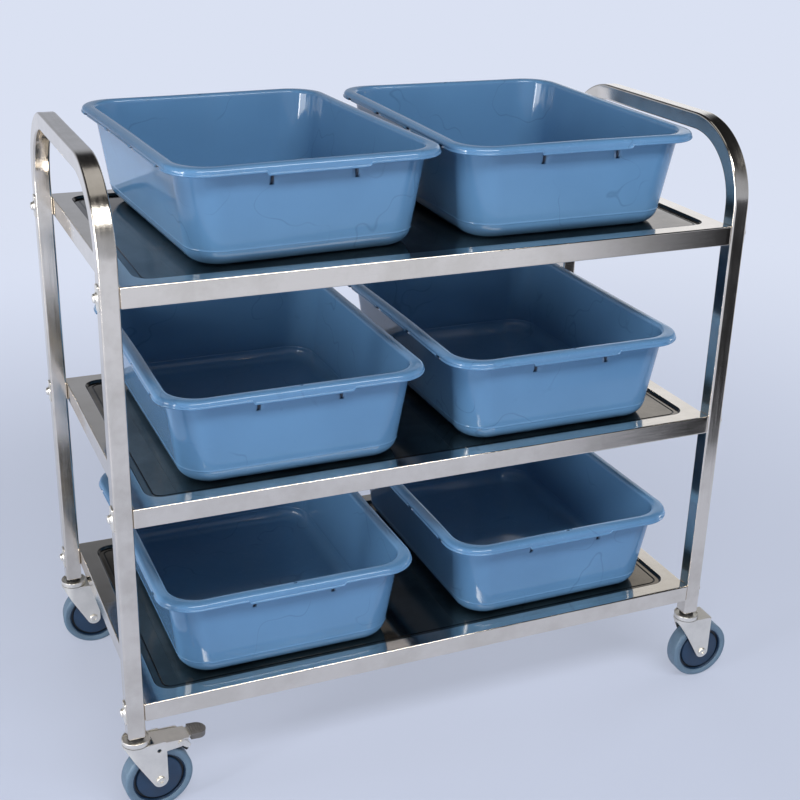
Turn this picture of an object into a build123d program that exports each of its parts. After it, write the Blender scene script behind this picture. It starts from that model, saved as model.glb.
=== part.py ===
from build123d import *
from math import asin, degrees, hypot
import os

# Three-tier bussing trolley: two bent square-tube end frames carry three pressed steel shelves,
# roll on four swivel castors and hold six plastic bus tubs.
# X runs along the trolley, Y from its front to its back and Z up. The origin lies on the floor
# below the middle of the frame. Sizes are in millimetres.

# End frames
frame_length = 950.0
frame_width = 494.0
frame_height = 932.0
tube_size = 25.0
tube_wall = 1.2
tube_corner = 2.5
handle_bend_radius = 110.0

# Shelves
leg_below_shelf = 54.0
shelf_spacing = 303.0
sheet = 1.2
apron_height = 28.0
hem_width = 10.0
shelf_corner = 3.0
fold_radius = 2.0
border_width = 25.0
recess_depth = 4.0
recess_slope = 3.0
recess_corner = 24.0
recess_fold = 1.0
stiffener_width = 60.0
stiffener_depth = 14.0
stiffener_flange = 14.0
stiffener_end_gap = 14.0

# Shelf fasteners
bolt_diameter = 6.0
bolt_hole_clearance = 0.3
bolt_head_diameter = 12.0
bolt_head_height = 3.6
bolt_end = 2.0
nut_width = 10.0
nut_height = 5.0
washer_height = 34.0
washer_width = 18.0
washer_thickness = 1.5
washer_corner = 4.0
washer_boss_diameter = 16.0
washer_boss_height = 1.8

# Castors
wheel_diameter = 100.0
tyre_width = 26.0
tyre_shoulder = 4.0
hub_diameter = 74.0
hub_rim_width = 23.0
hub_rim_height = 6.0
hub_web_width = 12.0
hub_boss_diameter = 22.0
hub_boss_width = 29.0
hub_side_play = 1.0
axle_diameter = 8.0
axle_head_diameter = 13.0
axle_head_height = 3.0
axle_dimple_diameter = 6.0
axle_dimple_depth = 1.4
axle_nut_width = 13.0
axle_nut_height = 5.0
bush_diameter = 12.0
running_clearance = 0.05
seat_clearance = 0.05
castor_trail = 28.0
fork_sheet = 2.5
fork_tip_radius = 11.0
fork_top_corner = 4.0
crown_radius = 20.0
crown_thickness = 4.0
crown_clearance = 10.0
race_gap = 0.3
ball_diameter = 4.0
ball_circle_radius = 13.5
ball_count = 12
cup_sheet = 2.0
cup_lip_height = 1.6
cup_skirt_gap = 0.7
cup_edge_round = 0.7
stem_diameter = 12.0
stem_engagement = 22.0
rivet_diameter = 21.0
rivet_height = 3.0
plug_length = 30.0
plug_collar_diameter = 23.0
plug_collar_height = 6.4
plug_clearance = 0.1
castor_headings = {"front_left": 4.0, "front_right": -2.0, "rear_left": -5.0, "rear_right": 8.0}
braked_castors = ("front_left", "rear_right")

# Castor brakes
brake_pivot_reach = 32.0
brake_pivot_drop = 9.5
brake_pin_diameter = 5.0
brake_pin_head_diameter = 8.0
brake_pin_head_height = 2.0
brake_boss_radius = 6.0
brake_arm_radius = 8.0
fork_window_diameter = 6.0
fork_window_drop = 9.0
lever_sheet = 2.0
lever_drop = 0.5
lever_slope = 6.0
lever_end_gap = 2.0
lever_side_gap = 0.7
lever_length = 52.0
lever_ear_radius = 5.0
pedal_length = 78.0
pedal_width = 22.0
pad_length = 25.0
pad_width = 27.0
pad_thickness = 9.0
pad_rib_count = 5
pad_rib_pitch = 4.0
pad_rib_width = 1.6
pad_rib_length = 15.0
pad_rib_height = 0.8
shoe_length = 12.0
shoe_width = 20.0
shoe_thickness = 4.0
shoe_gap = 3.9
shoe_angle = 45.0
shoe_arm_radius = 4.0

# Bus tubs
tub_width = 390.0
tub_length = 488.0
tub_height = 137.0
tub_wall = 2.8
tub_rim_width = 19.0
tub_rim_corner = 55.0
tub_rim_roll = 6.0
tub_lip_drop = 12.0
tub_mouth_roll = 2.0
tub_base_width = 320.0
tub_base_length = 428.0
tub_base_corner = 46.0
tub_base_roll = 20.0
grip_width = 140.0
grip_drop = 4.0
grip_slot_width = 4.5
grip_slot_height = 13.0
grip_slot_pitch = 118.0
lip_notch_length = 12.0
lip_notch_height = 4.5
lip_notch_pitch = 115.0
lip_notch_count = 4
slot_depth = 1.6
slot_drop = 3.0
tub_rest_gap = 0.5
# Each tub's middle along and across the shelf, its turn, and whether its back stands on the border
tub_places = {
    "top_left": (-195.0, 25.0, 3.5, True),
    "top_right": (213.0, 25.0, 0.0, True),
    "middle_left": (-208.0, 8.0, 0.0, False),
    "middle_right": (213.0, 8.0, 0.0, False),
    "bottom_left": (-219.0, 8.0, 0.0, False),
    "bottom_right": (228.0, 8.0, 0.0, False),
}

# Heights and places that follow from the sizes above
shelf_length = frame_length - 2 * tube_size
leg_x = (frame_length - tube_size) / 2
leg_y = (frame_width - tube_size) / 2
axle_height = wheel_diameter / 2
crown_underside = wheel_diameter + crown_clearance
crown_top = crown_underside + crown_thickness
ball_height = crown_top + race_gap + ball_diameter / 2
cup_ceiling = ball_height + ball_diameter / 2 + race_gap
cup_top = cup_ceiling + cup_sheet
leg_end = cup_top + plug_collar_height
bottom_shelf_level = leg_end + leg_below_shelf
shelf_levels = {
    "bottom": bottom_shelf_level,
    "middle": bottom_shelf_level + shelf_spacing,
    "top": bottom_shelf_level + 2 * shelf_spacing,
}
cheek_inner = hub_boss_width / 2 + hub_side_play
cheek_outer = cheek_inner + fork_sheet
brake_pivot = (castor_trail + brake_pivot_reach, crown_top - brake_pivot_drop)
bolt_y_places = (-leg_y, leg_y)
castor_places = {
    "front_left": (-leg_x, -leg_y),
    "front_right": (leg_x, -leg_y),
    "rear_left": (-leg_x, leg_y),
    "rear_right": (leg_x, leg_y),
}


def rounded_prism(width, length, corner, low, high):
    """Upright prism with a rounded rectangular outline between two heights."""
    return Pos(0, 0, low) * extrude(RectangleRounded(width, length, corner), high - low)


def upright_disc(radius, low, high):
    """Upright cylinder about Z between two heights."""
    return Pos(0, 0, (low + high) / 2) * Cylinder(radius, high - low)


def cross_rod(radius, x, z, near, far):
    """Cylinder along Y through a point of the XZ plane."""
    return Pos(x, (near + far) / 2, z) * Rot(90, 0, 0) * Cylinder(radius, far - near)


def side_plate(outline, near, far):
    """Plate whose outline is drawn in XZ and whose faces lie at two Y places."""
    return extrude(Plane.XZ.offset(-far) * outline, far - near)


def outline_hull(circles):
    """Smallest outline around circles given as x, z and radius."""
    return make_hull([Pos(x, z) * Edge.make_circle(radius) for x, z, radius in circles])


def end_frame(side):
    """One bent tube: two legs and the push handle that joins them."""
    x = side * leg_x
    rail = frame_height - tube_size / 2
    path = FilletPolyline(
        (x, -leg_y, leg_end), (x, -leg_y, rail), (x, leg_y, rail), (x, leg_y, leg_end),
        radius=handle_bend_radius,
    )
    inside = tube_size - 2 * tube_wall
    section = RectangleRounded(tube_size, tube_size, tube_corner)
    section -= RectangleRounded(inside, inside, tube_corner - tube_wall)
    tube = sweep(Pos(x, -leg_y, leg_end) * section, path)
    hole = Rot(0, 90, 0) * Cylinder(bolt_diameter / 2 + bolt_hole_clearance, 2 * tube_size)
    for level in shelf_levels.values():
        for y in bolt_y_places:
            tube -= Pos(x, y, level - apron_height / 2) * hole
    return tube


def recess_block(level, low, high, growth):
    """Block of a shelf's sunk floor between two heights, its sloped walls moved outwards by a growth."""
    sections = []
    for height in (low, high):
        inset = recess_slope * (level - height) / recess_depth - growth
        length = shelf_length - 2 * (border_width + inset)
        width = frame_width - 2 * (border_width + inset)
        sections.append(Pos(0, 0, height) * RectangleRounded(length, width, recess_corner - inset))
    return loft(sections)


def shelf(level):
    """Pressed pan: flat border, sunk floor, folded aprons and a hem along their lower edge."""
    low = level - apron_height
    floor_under = level - recess_depth - sheet
    inner_length = shelf_length - 2 * sheet
    inner_width = frame_width - 2 * sheet
    inner_corner = shelf_corner - sheet
    wall = sheet * hypot(recess_slope, recess_depth) / recess_depth
    pan = rounded_prism(shelf_length, frame_width, shelf_corner, low, level)
    pan = fillet(pan.faces().sort_by(Axis.Z)[-1].edges(), fold_radius)
    pan -= recess_block(level, level - recess_depth, level, 0)
    recess_floor = pan.faces().filter_by(Axis.Z).filter_by_position(
        Axis.Z, level - recess_depth - recess_fold, level - recess_depth + recess_fold)
    pan = fillet(recess_floor[0].edges(), recess_fold)
    pan -= rounded_prism(inner_length, inner_width, inner_corner, low, floor_under)
    gutter = rounded_prism(inner_length, inner_width, inner_corner, floor_under, level - sheet)
    gutter -= recess_block(level, floor_under, level - sheet, wall)
    pan -= gutter
    hem = rounded_prism(inner_length, inner_width, inner_corner, low, low + sheet)
    hem -= Pos(0, 0, low) * Box(
        inner_length - 2 * hem_width, inner_width - 2 * hem_width, 4 * sheet)
    pan += hem
    hole = Rot(0, 90, 0) * Cylinder(bolt_diameter / 2 + bolt_hole_clearance, 2 * shelf_length)
    for y in bolt_y_places:
        pan -= Pos(0, y, level - apron_height / 2) * hole
    return pan


def shelf_stiffener(level):
    """Hat channel under the middle of a shelf, flanges against the sunk floor."""
    top = level - recess_depth - sheet
    length = shelf_length - 2 * (sheet + stiffener_end_gap)
    channel = Box(length, stiffener_width, stiffener_depth)
    channel -= Pos(0, 0, sheet) * Box(length, stiffener_width - 2 * sheet, stiffener_depth)
    channel = Pos(0, 0, top - stiffener_depth / 2) * channel
    flange_y = (stiffener_width + stiffener_flange) / 2
    for side in (-1, 1):
        channel += Pos(0, side * flange_y, top - sheet / 2) * Box(length, stiffener_flange, sheet)
    return channel


def at_shelf_joints(piece):
    """Copies of a piece, drawn along +X from a leg's outer face, at every leg and shelf."""
    copies = []
    for level in shelf_levels.values():
        for y in bolt_y_places:
            for side, turn in ((1, 0), (-1, 180)):
                place = Pos(side * frame_length / 2, y, level - apron_height / 2) * Rot(0, 0, turn)
                copies.append(place * piece)
    return Compound(copies)


def shelf_washer():
    """Dished plate under a bolt head, flat against the leg."""
    outline = RectangleRounded(washer_height, washer_width, washer_corner)
    plate = extrude(outline, washer_thickness)
    plate += Pos(0, 0, washer_thickness) * extrude(
        Circle(washer_boss_diameter / 2), washer_boss_height, taper=40)
    plate -= Cylinder(bolt_diameter / 2 + bolt_hole_clearance, 4 * washer_width)
    return Rot(0, 90, 0) * plate


def shelf_bolt():
    """Domed bolt through the washer, the leg and the shelf's end apron."""
    seat = washer_thickness + washer_boss_height
    reach = tube_size + sheet + nut_height + bolt_end
    head = upright_disc(bolt_head_diameter / 2, seat, seat + bolt_head_height)
    head = fillet(head.edges().group_by(Axis.Z)[-1], 0.8 * bolt_head_height)
    shank = upright_disc(bolt_diameter / 2, -reach, seat)
    return Rot(0, 90, 0) * (head + shank)


def shelf_nut():
    """Hexagon nut inside the shelf's end apron."""
    seat = tube_size + sheet
    nut = extrude(RegularPolygon(nut_width / 2, 6, major_radius=False), nut_height)
    nut -= Cylinder(bolt_diameter / 2 + seat_clearance, 4 * nut_height)
    return Rot(0, 90, 0) * Pos(0, 0, -seat - nut_height) * nut


def leg_plug():
    """Plug in the end of a leg that takes the castor's stem."""
    side = tube_size - 2 * (tube_wall + plug_clearance)
    plug = upright_disc(plug_collar_diameter / 2, cup_top, leg_end)
    plug += rounded_prism(side, side, tube_corner - tube_wall, leg_end, leg_end + plug_length)
    plug -= upright_disc(stem_diameter / 2 + seat_clearance, cup_top, leg_end + plug_length)
    return plug


def castor_cup():
    """Upper race: a dish that covers the ball ring, with a low lip round the leg's plug."""
    bore = stem_diameter / 2 + seat_clearance
    inside = crown_radius - cup_sheet
    skirt = crown_top + cup_skirt_gap
    lip = cup_top + cup_lip_height
    profile = Polyline(
        (bore, cup_ceiling), (inside, cup_ceiling), (inside, skirt), (crown_radius, skirt),
        (crown_radius, lip), (inside, lip), (inside, cup_top), (bore, cup_top),
        close=True,
    )
    cup = revolve(Plane.XZ * make_face(profile), Axis.Z)
    outer = [edge for edge in cup.edges().filter_by(GeomType.CIRCLE) if edge.radius > inside + seat_clearance]
    return fillet(outer, cup_edge_round)


def castor_stem():
    """Threaded stem, riveted over below the fork's crown."""
    rivet_top = crown_underside - race_gap
    stem = upright_disc(stem_diameter / 2, rivet_top - rivet_height, leg_end + stem_engagement)
    return stem + upright_disc(rivet_diameter / 2, rivet_top - rivet_height, rivet_top)


def ball_ring():
    """Ring of balls between the cup and the crown."""
    places = PolarLocations(ball_circle_radius, ball_count)
    return [Pos(0, 0, ball_height) * place * Sphere(ball_diameter / 2) for place in places]


def fork(braked):
    """Pressed fork: crown, two cheeks that taper to the axle and wrap round the front below the crown."""
    plate_end = castor_trail + fork_tip_radius
    corner_z = crown_top - fork_top_corner
    outline = outline_hull([
        (castor_trail, axle_height, fork_tip_radius),
        (fork_top_corner - cheek_outer, corner_z, fork_top_corner),
        (plate_end - fork_top_corner, corner_z, fork_top_corner),
    ])
    wrap = upright_disc(cheek_outer, axle_height, crown_underside)
    wrap -= upright_disc(cheek_inner, axle_height, crown_underside)
    wrap = split(wrap & side_plate(outline, -cheek_outer, cheek_outer), Plane.YZ, keep=Keep.BOTTOM)
    if braked:
        outline += outline_hull([
            (castor_trail, brake_pivot[1], brake_arm_radius),
            (*brake_pivot, brake_boss_radius),
        ])
    body = upright_disc(crown_radius, crown_underside, crown_top) + wrap
    for near, far in ((-cheek_outer, -cheek_inner), (cheek_inner, cheek_outer)):
        body += split(side_plate(outline, near, far), Plane.YZ)
    if not braked:
        body += Pos(plate_end / 2, 0, (crown_underside + crown_top) / 2) * Box(
            plate_end, 2 * cheek_outer, crown_thickness)
    body -= upright_disc(stem_diameter / 2 + running_clearance, crown_underside, crown_top)
    across = (-crown_radius, crown_radius)
    body -= cross_rod(axle_diameter / 2 + seat_clearance, castor_trail, axle_height, *across)
    if braked:
        body -= cross_rod(brake_pin_diameter / 2 + seat_clearance, *brake_pivot, *across)
        window_z = crown_underside - fork_window_drop
        body -= cross_rod(fork_window_diameter / 2, castor_trail, window_z, *across)
    return body


def axle_bolt():
    """Axle with a low domed head on the front cheek."""
    head_face = -cheek_outer
    head_top = head_face - axle_head_height
    head = cross_rod(axle_head_diameter / 2, castor_trail, axle_height, head_top, head_face)
    head = fillet(head.edges().group_by(Axis.Y)[0], 0.6 * axle_head_height)
    head -= cross_rod(
        axle_dimple_diameter / 2, castor_trail, axle_height, head_top, head_top + axle_dimple_depth)
    end = cheek_outer + axle_nut_height + bolt_end
    return head + cross_rod(axle_diameter / 2, castor_trail, axle_height, head_face, end)


def axle_nut():
    """Hexagon nut on the rear cheek."""
    nut = side_plate(
        RegularPolygon(axle_nut_width / 2, 6, major_radius=False), cheek_outer, cheek_outer + axle_nut_height)
    nut = Pos(castor_trail, 0, axle_height) * nut
    return nut - cross_rod(axle_diameter / 2 + seat_clearance, castor_trail, axle_height, 0, 2 * crown_radius)


def about_axle(profile):
    """Solid of a wheel profile, drawn as radius and width, turned about the axle."""
    solid = revolve(Plane.XY * make_face(profile), Axis.Y)
    return Pos(castor_trail, 0, axle_height) * solid


def tyre():
    """Grey tread ring with rounded shoulders."""
    bore = hub_diameter / 2 + seat_clearance
    ring = Rectangle(wheel_diameter / 2 - bore, tyre_width, align=(Align.MIN, Align.CENTER))
    ring = Pos(bore, 0) * ring
    ring = fillet(ring.vertices().group_by(Axis.X)[-1], tyre_shoulder)
    return Pos(castor_trail, 0, axle_height) * revolve(ring, Axis.Y)


def wheel_hub():
    """Plastic wheel centre: rim, thin web and a boss for the bush."""
    bore = bush_diameter / 2 + seat_clearance
    rim = hub_diameter / 2
    rim_inside = rim - hub_rim_height
    boss = hub_boss_diameter / 2
    half = [
        (bore, hub_boss_width / 2), (boss, hub_boss_width / 2), (boss, hub_web_width / 2),
        (rim_inside, hub_web_width / 2), (rim_inside, hub_rim_width / 2), (rim, hub_rim_width / 2),
    ]
    other_half = [(radius, -across) for radius, across in reversed(half)]
    return about_axle(Polyline(*half, *other_half, close=True))


def wheel_bush():
    """Steel sleeve that runs on the axle."""
    half = hub_boss_width / 2
    bush = cross_rod(bush_diameter / 2, castor_trail, axle_height, -half, half)
    return bush - cross_rod(axle_diameter / 2 + running_clearance, castor_trail, axle_height, -half, half)


def brake_pin():
    """Headed pin across the fork that the brake lever turns on."""
    pin = cross_rod(brake_pin_diameter / 2, *brake_pivot, -cheek_outer, cheek_outer)
    for near, far in (
        (-cheek_outer - brake_pin_head_height, -cheek_outer),
        (cheek_outer, cheek_outer + brake_pin_head_height),
    ):
        pin += cross_rod(brake_pin_head_diameter / 2, *brake_pivot, near, far)
    return pin


def shoe_frame():
    """Place of the brake shoe's face: its normal points at the wheel's axle."""
    reach = wheel_diameter / 2 + shoe_gap
    return Pos(castor_trail, 0, axle_height) * Rot(0, shoe_angle, 0) * Pos(0, 0, reach)


def lever_frame():
    """Place of the lever's upper face at its inner end, sloped down towards the pedal."""
    return Pos(crown_radius + lever_end_gap, 0, crown_top - lever_drop) * Rot(0, lever_slope, 0)


def pedal_blank(length, width, low, high):
    """Strip along the lever with a round outer end, between two heights of the lever's frame."""
    strip = Pos(0, 0, low) * extrude(SlotOverall(2 * length, width), high - low)
    return split(strip, Plane.YZ)


def brake_lever():
    """Foot lever: sloped plate and pedal, two ears on the pin and an arm down to the shoe."""
    half = cheek_inner - lever_side_gap
    plate = Pos(lever_length / 2, 0, -lever_sheet / 2) * Box(lever_length, 2 * half, lever_sheet)
    plate += pedal_blank(pedal_length, pedal_width, -lever_sheet, 0)
    lever = lever_frame() * plate
    reach = brake_pivot[0] - crown_radius - lever_end_gap
    ear_circles = [(*brake_pivot, lever_ear_radius)]
    for step in (-lever_ear_radius, lever_ear_radius):
        root = (lever_frame() * Pos(reach + step, 0, -lever_sheet / 2)).position
        ear_circles.append((root.X, root.Z, lever_sheet / 2))
    ear = outline_hull(ear_circles)
    for near, far in ((-half, lever_sheet - half), (half - lever_sheet, half)):
        lever += side_plate(ear, near, far)
    shoe_seat = shoe_frame() * Pos(0, 0, shoe_thickness + shoe_arm_radius)
    arm = outline_hull([
        (*brake_pivot, lever_ear_radius),
        (shoe_seat.position.X, shoe_seat.position.Z, shoe_arm_radius),
    ])
    lever += side_plate(arm, lever_sheet - half, half - lever_sheet)
    lever -= brake_shoe()
    return lever - cross_rod(brake_pin_diameter / 2 + running_clearance, *brake_pivot, -half, half)


def brake_pad():
    """Ribbed cap pushed over the end of the pedal."""
    margin = (pad_width - pedal_width) / 2
    pad_end = pedal_length + margin
    pad_start = pad_end - pad_length
    low = -(lever_sheet + pad_thickness) / 2
    high = low + pad_thickness
    cap = pedal_blank(pad_end, pad_width, low, high)
    cap -= Pos(pad_start / 2, 0, 0) * Box(pad_start, 2 * pad_width, 2 * pad_thickness)
    rib = Box(pad_rib_width, pad_rib_length, 2 * pad_rib_height)
    for step in range(pad_rib_count):
        cap += Pos(pad_start + (step + 1) * pad_rib_pitch, 0, high) * rib
    cap -= pedal_blank(
        pedal_length + seat_clearance, pedal_width + 2 * seat_clearance,
        -lever_sheet - seat_clearance, seat_clearance)
    return lever_frame() * cap


def brake_shoe():
    """Rubber pad that the lever presses on the tyre."""
    return shoe_frame() * Pos(0, 0, shoe_thickness / 2) * Box(shoe_length, shoe_width, shoe_thickness)


def tub_section(height, inset):
    """Outline of the tub's outer wall at a height, moved inwards by an inset."""
    share = height / tub_height
    top_width = tub_width - 2 * (tub_rim_width - tub_wall)
    top_length = tub_length - 2 * (tub_rim_width - tub_wall)
    top_corner = tub_rim_corner - (tub_rim_width - tub_wall) / 2
    width = tub_base_width + share * (top_width - tub_base_width) - 2 * inset
    length = tub_base_length + share * (top_length - tub_base_length) - 2 * inset
    corner = tub_base_corner + share * (top_corner - tub_base_corner) - inset
    return width, length, corner


def tub_body(low, high, inset, roll):
    """Drafted block of the tub's outline, rolled round its lower edge."""
    sections = [Pos(0, 0, height) * RectangleRounded(*tub_section(height, inset)) for height in (low, high)]
    body = loft(sections)
    return fillet(body.edges().group_by(Axis.Z)[0], roll)


def bus_tub():
    """Plastic tub with drafted walls and a rolled rim: its lip is deeper at two grips, with notched sides."""
    lip_low = tub_height - tub_lip_drop
    outside = tub_body(0, tub_height, 0, tub_base_roll)
    inside = tub_body(tub_wall, tub_height + tub_wall, tub_wall, tub_base_roll - tub_wall)
    rim = rounded_prism(tub_width, tub_length, tub_rim_corner, lip_low, tub_height)
    rim = fillet(rim.faces().sort_by(Axis.Z)[-1].edges(), tub_rim_roll)
    for side in (-1, 1):
        rim += Pos(0, side * (tub_length - tub_wall) / 2, lip_low) * Box(grip_width, tub_wall, 2 * grip_drop)
    hollow = rounded_prism(
        tub_width - 2 * tub_wall, tub_length - 2 * tub_wall, tub_rim_corner - tub_wall,
        lip_low - grip_drop, tub_height - tub_wall)
    hollow = fillet(hollow.faces().sort_by(Axis.Z)[-1].edges(), tub_rim_roll - tub_wall)
    tub = outside + (rim - hollow) - inside
    mouth = tub.faces().filter_by(Axis.Z).sort_by(Axis.Z)[-1].inner_wires()[0]
    tub = fillet(mouth.edges(), tub_mouth_roll)
    grip_z = lip_low - grip_drop - slot_drop - grip_slot_height / 2
    grip_y = tub_section(grip_z, slot_depth)[1] / 2 + tub_wall
    notch = Box(4 * tub_wall, lip_notch_length, 2 * lip_notch_height)
    for side in (-1, 1):
        for x in (-grip_slot_pitch / 2, grip_slot_pitch / 2):
            tub -= Pos(x, side * grip_y, grip_z) * Box(grip_slot_width, 2 * tub_wall, grip_slot_height)
        for step in range(lip_notch_count):
            y = (step - (lip_notch_count - 1) / 2) * lip_notch_pitch
            tub -= Pos(side * tub_width / 2, y, lip_low) * notch
    return tub


def castor_place(corner):
    """Place of a castor's swivel axis, turned to the way it trails."""
    return Pos(*castor_places[corner]) * Rot(0, 0, castor_headings[corner])


def at_castors(pieces):
    """Copies of fixed pieces on every castor's swivel axis."""
    return Compound([castor_place(corner) * piece for corner in castor_places for piece in pieces])


def fixed_nodes():
    """Everything that stays put on the trolley's frame."""
    nodes = {"left_end_frame": end_frame(-1), "right_end_frame": end_frame(1)}
    for name, level in shelf_levels.items():
        nodes[name + "_shelf"] = shelf(level)
        nodes[name + "_shelf_stiffener"] = shelf_stiffener(level)
    nodes["shelf_bolts"] = at_shelf_joints(shelf_bolt())
    nodes["shelf_washers"] = at_shelf_joints(shelf_washer())
    nodes["shelf_nuts"] = at_shelf_joints(shelf_nut())
    nodes["leg_plugs"] = Compound([Pos(*place) * leg_plug() for place in castor_places.values()])
    nodes["castor_cups"] = at_castors([castor_cup()])
    nodes["castor_stems"] = at_castors([castor_stem()])
    nodes["castor_balls"] = at_castors(ball_ring())
    return nodes


def castor_nodes(corner):
    """Swivelling and rolling pieces of one castor."""
    braked = corner in braked_castors
    pieces = {
        "fork": fork(braked),
        "axle": axle_bolt(),
        "axle_nut": axle_nut(),
        "tyre": tyre(),
        "hub": wheel_hub(),
        "bush": wheel_bush(),
    }
    if braked:
        pieces["brake_pin"] = brake_pin()
        pieces["brake_lever"] = brake_lever()
        pieces["brake_pad"] = brake_pad()
        pieces["brake_shoe"] = brake_shoe()
    place = castor_place(corner)
    return {corner + "_" + name: place * piece for name, piece in pieces.items()}


def tub_tilt(y):
    """Lean of a tub whose front stands on the sunk floor and whose back stands on the border."""
    front = (tub_base_length - tub_base_roll) / 2
    span = frame_width / 2 - border_width - y + front
    lean = degrees(asin((recess_depth + tub_rest_gap) / span))
    return Pos(0, -front, 0) * Rot(lean, 0, 0) * Pos(0, front, 0)


def tub_nodes():
    """The six tubs where they stand on the shelves' sunk floors."""
    tub = bus_tub()
    nodes = {}
    for name, (x, y, turn, on_border) in tub_places.items():
        place = Pos(x, y, shelf_levels[name.split("_")[0]] - recess_depth) * Rot(0, 0, turn)
        if on_border:
            place = place * tub_tilt(y)
        nodes[name + "_tub"] = place * tub
    return nodes


def main():
    """Build every node and write one STEP file for each."""
    os.makedirs("parts", exist_ok=True)
    nodes = fixed_nodes()
    for corner in castor_places:
        nodes.update(castor_nodes(corner))
    nodes.update(tub_nodes())
    for name, solid in nodes.items():
        export_step(solid, "parts/" + name + ".step")


if __name__ == "__main__":
    main()
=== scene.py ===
import logging
import math
from dataclasses import dataclass
from enum import Enum

import bpy
import numpy as np
from mathutils import Matrix, Vector


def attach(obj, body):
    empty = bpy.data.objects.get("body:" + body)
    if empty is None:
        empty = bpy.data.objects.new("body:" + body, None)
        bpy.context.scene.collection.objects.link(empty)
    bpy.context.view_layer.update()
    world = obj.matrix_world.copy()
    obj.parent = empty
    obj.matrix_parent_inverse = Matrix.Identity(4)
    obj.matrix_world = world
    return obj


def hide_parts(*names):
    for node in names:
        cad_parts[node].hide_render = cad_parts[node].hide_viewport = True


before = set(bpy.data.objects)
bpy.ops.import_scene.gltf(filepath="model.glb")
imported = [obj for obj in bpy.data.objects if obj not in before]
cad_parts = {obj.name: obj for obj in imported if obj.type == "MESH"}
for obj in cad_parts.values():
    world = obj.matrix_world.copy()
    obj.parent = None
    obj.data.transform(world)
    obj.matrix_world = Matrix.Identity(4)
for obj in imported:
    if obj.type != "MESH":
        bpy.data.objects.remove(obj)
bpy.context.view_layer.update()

# Looks of a three-tier bussing trolley: buffed stainless end frames and shelves, bright zinc castors
# on blue-grey tyres, and six glossy blue tubs. Sizes are in millimetres until a mesh is made.

MM = 0.001
FULL_TURN = 2 * np.pi
# Points and rows nearer to each other than this are one.
SAME_POINT = 1e-6
SAME_ROW = 1e-4
# A direction with at least this share along an axis is square to a side.
SQUARE_ON = 0.999
# Sockets of a Mix node of colours: share, first colour, second colour, result.
MIX_SHARE, MIX_FIRST, MIX_SECOND, MIX_RESULT = 0, 6, 7, 2
NOISE_MIDDLE = 0.5
LEG_X, LEG_Y = 462.5, 234.5
SHELF_LEVELS = {"bottom": 181.0, "middle": 484.0, "top": 787.0}
log = logging.getLogger("trolley")


class Finish(Enum):
    """Names of the finishes that the pieces are dressed in."""

    BUFFED_SHEET = "buffed_stainless_steel"
    BUFFED_TUBE = "buffed_stainless_tube"
    # The shelf floor and fold finishes are painted dark, as painted shade.
    SHELF_FLOOR_PAINTED_DARK = "shelf_floor_stainless_painted_dark"
    SHELF_FOLD_PAINTED_SHADE = "shelf_fold_stainless_painted_shade"
    ZINC_PLATE = "bright_zinc_plate"
    POLYPROPYLENE = "blue_polypropylene"
    TYRE_RUBBER = "blue_grey_tyre_rubber"
    HUB_NYLON = "navy_moulded_nylon"
    BLACK_PLASTIC = "black_moulded_plastic"
    BLACK_RUBBER = "black_brake_rubber"
    PEDAL_PLASTIC = "grey_pedal_plastic"
    STUDIO_FLOOR = "pale_studio_floor"
    FLAG_CLOTH = "black_flag_cloth"


def linear(colour: str) -> tuple[float, float, float, float]:
    """Turn an sRGB hex colour into linear light: a straight line near black, else a power of 2.4.

    Args:
        colour: Colour as "#RRGGBB".

    Returns:
        Red, green, blue and an alpha of 1.
    """
    levels = np.array([int(colour[i:i + 2], 16) for i in (1, 3, 5)]) / 255.0
    light = np.where(levels <= 0.04045, levels / 12.92, ((levels + 0.055) / 1.055) ** 2.4)
    return (*light.tolist(), 1.0)


def add(
    tree: bpy.types.NodeTree, kind: str, inputs: dict | None = None,
    marks: tuple[tuple[float, tuple], ...] = (), **settings: object,
) -> bpy.types.Node:
    """Add a node with its settings, and set or link its inputs.

    Args:
        tree: Node tree that gets the node.
        kind: Node type, without the "ShaderNode" in front.
        inputs: Input name or number to a value, or to the socket it is linked to.
        marks: Place from 0 to 1 and colour of each stop, in order, where the node has a colour ramp.
        settings: The node's own properties.

    Returns:
        The new node.
    """
    node = tree.nodes.new("ShaderNode" + kind)
    for name, value in settings.items():
        setattr(node, name, value)
    for name, value in (inputs or {}).items():
        if isinstance(value, bpy.types.NodeSocket):
            tree.links.new(value, node.inputs[name])
        else:
            node.inputs[name].default_value = value
    if marks:
        elements = node.color_ramp.elements
        while len(elements) < len(marks):
            elements.new(1.0)
        for element, (place, colour) in zip(elements, marks):
            element.position = place
            element.color = colour
    return node


def tint_marks(band: tuple[float, float], first: str, last: str) -> tuple[tuple[float, tuple], ...]:
    """Stops of a colour ramp from a first hex colour to a last one across a band."""
    return (band[0], linear(first)), (band[1], linear(last))


def waves_per_metre(spacing_mm: float) -> float:
    """Texture scale on Object coordinates, in metres, for features a spacing apart."""
    return 1.0 / (spacing_mm * MM)


def new_material(
    finish: Finish,
) -> tuple[bpy.types.Material, bpy.types.NodeTree, bpy.types.Node, bpy.types.NodeSocket]:
    """Start a node material.

    Args:
        finish: Finish that the material is named for.

    Returns:
        The material, its node tree, its surface shader, and the socket that gives a point's place.
    """
    material = bpy.data.materials.new(finish.value)
    material.use_nodes = True
    tree = material.node_tree
    return material, tree, tree.nodes["Principled BSDF"], add(tree, "TexCoord").outputs["Object"]


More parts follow.
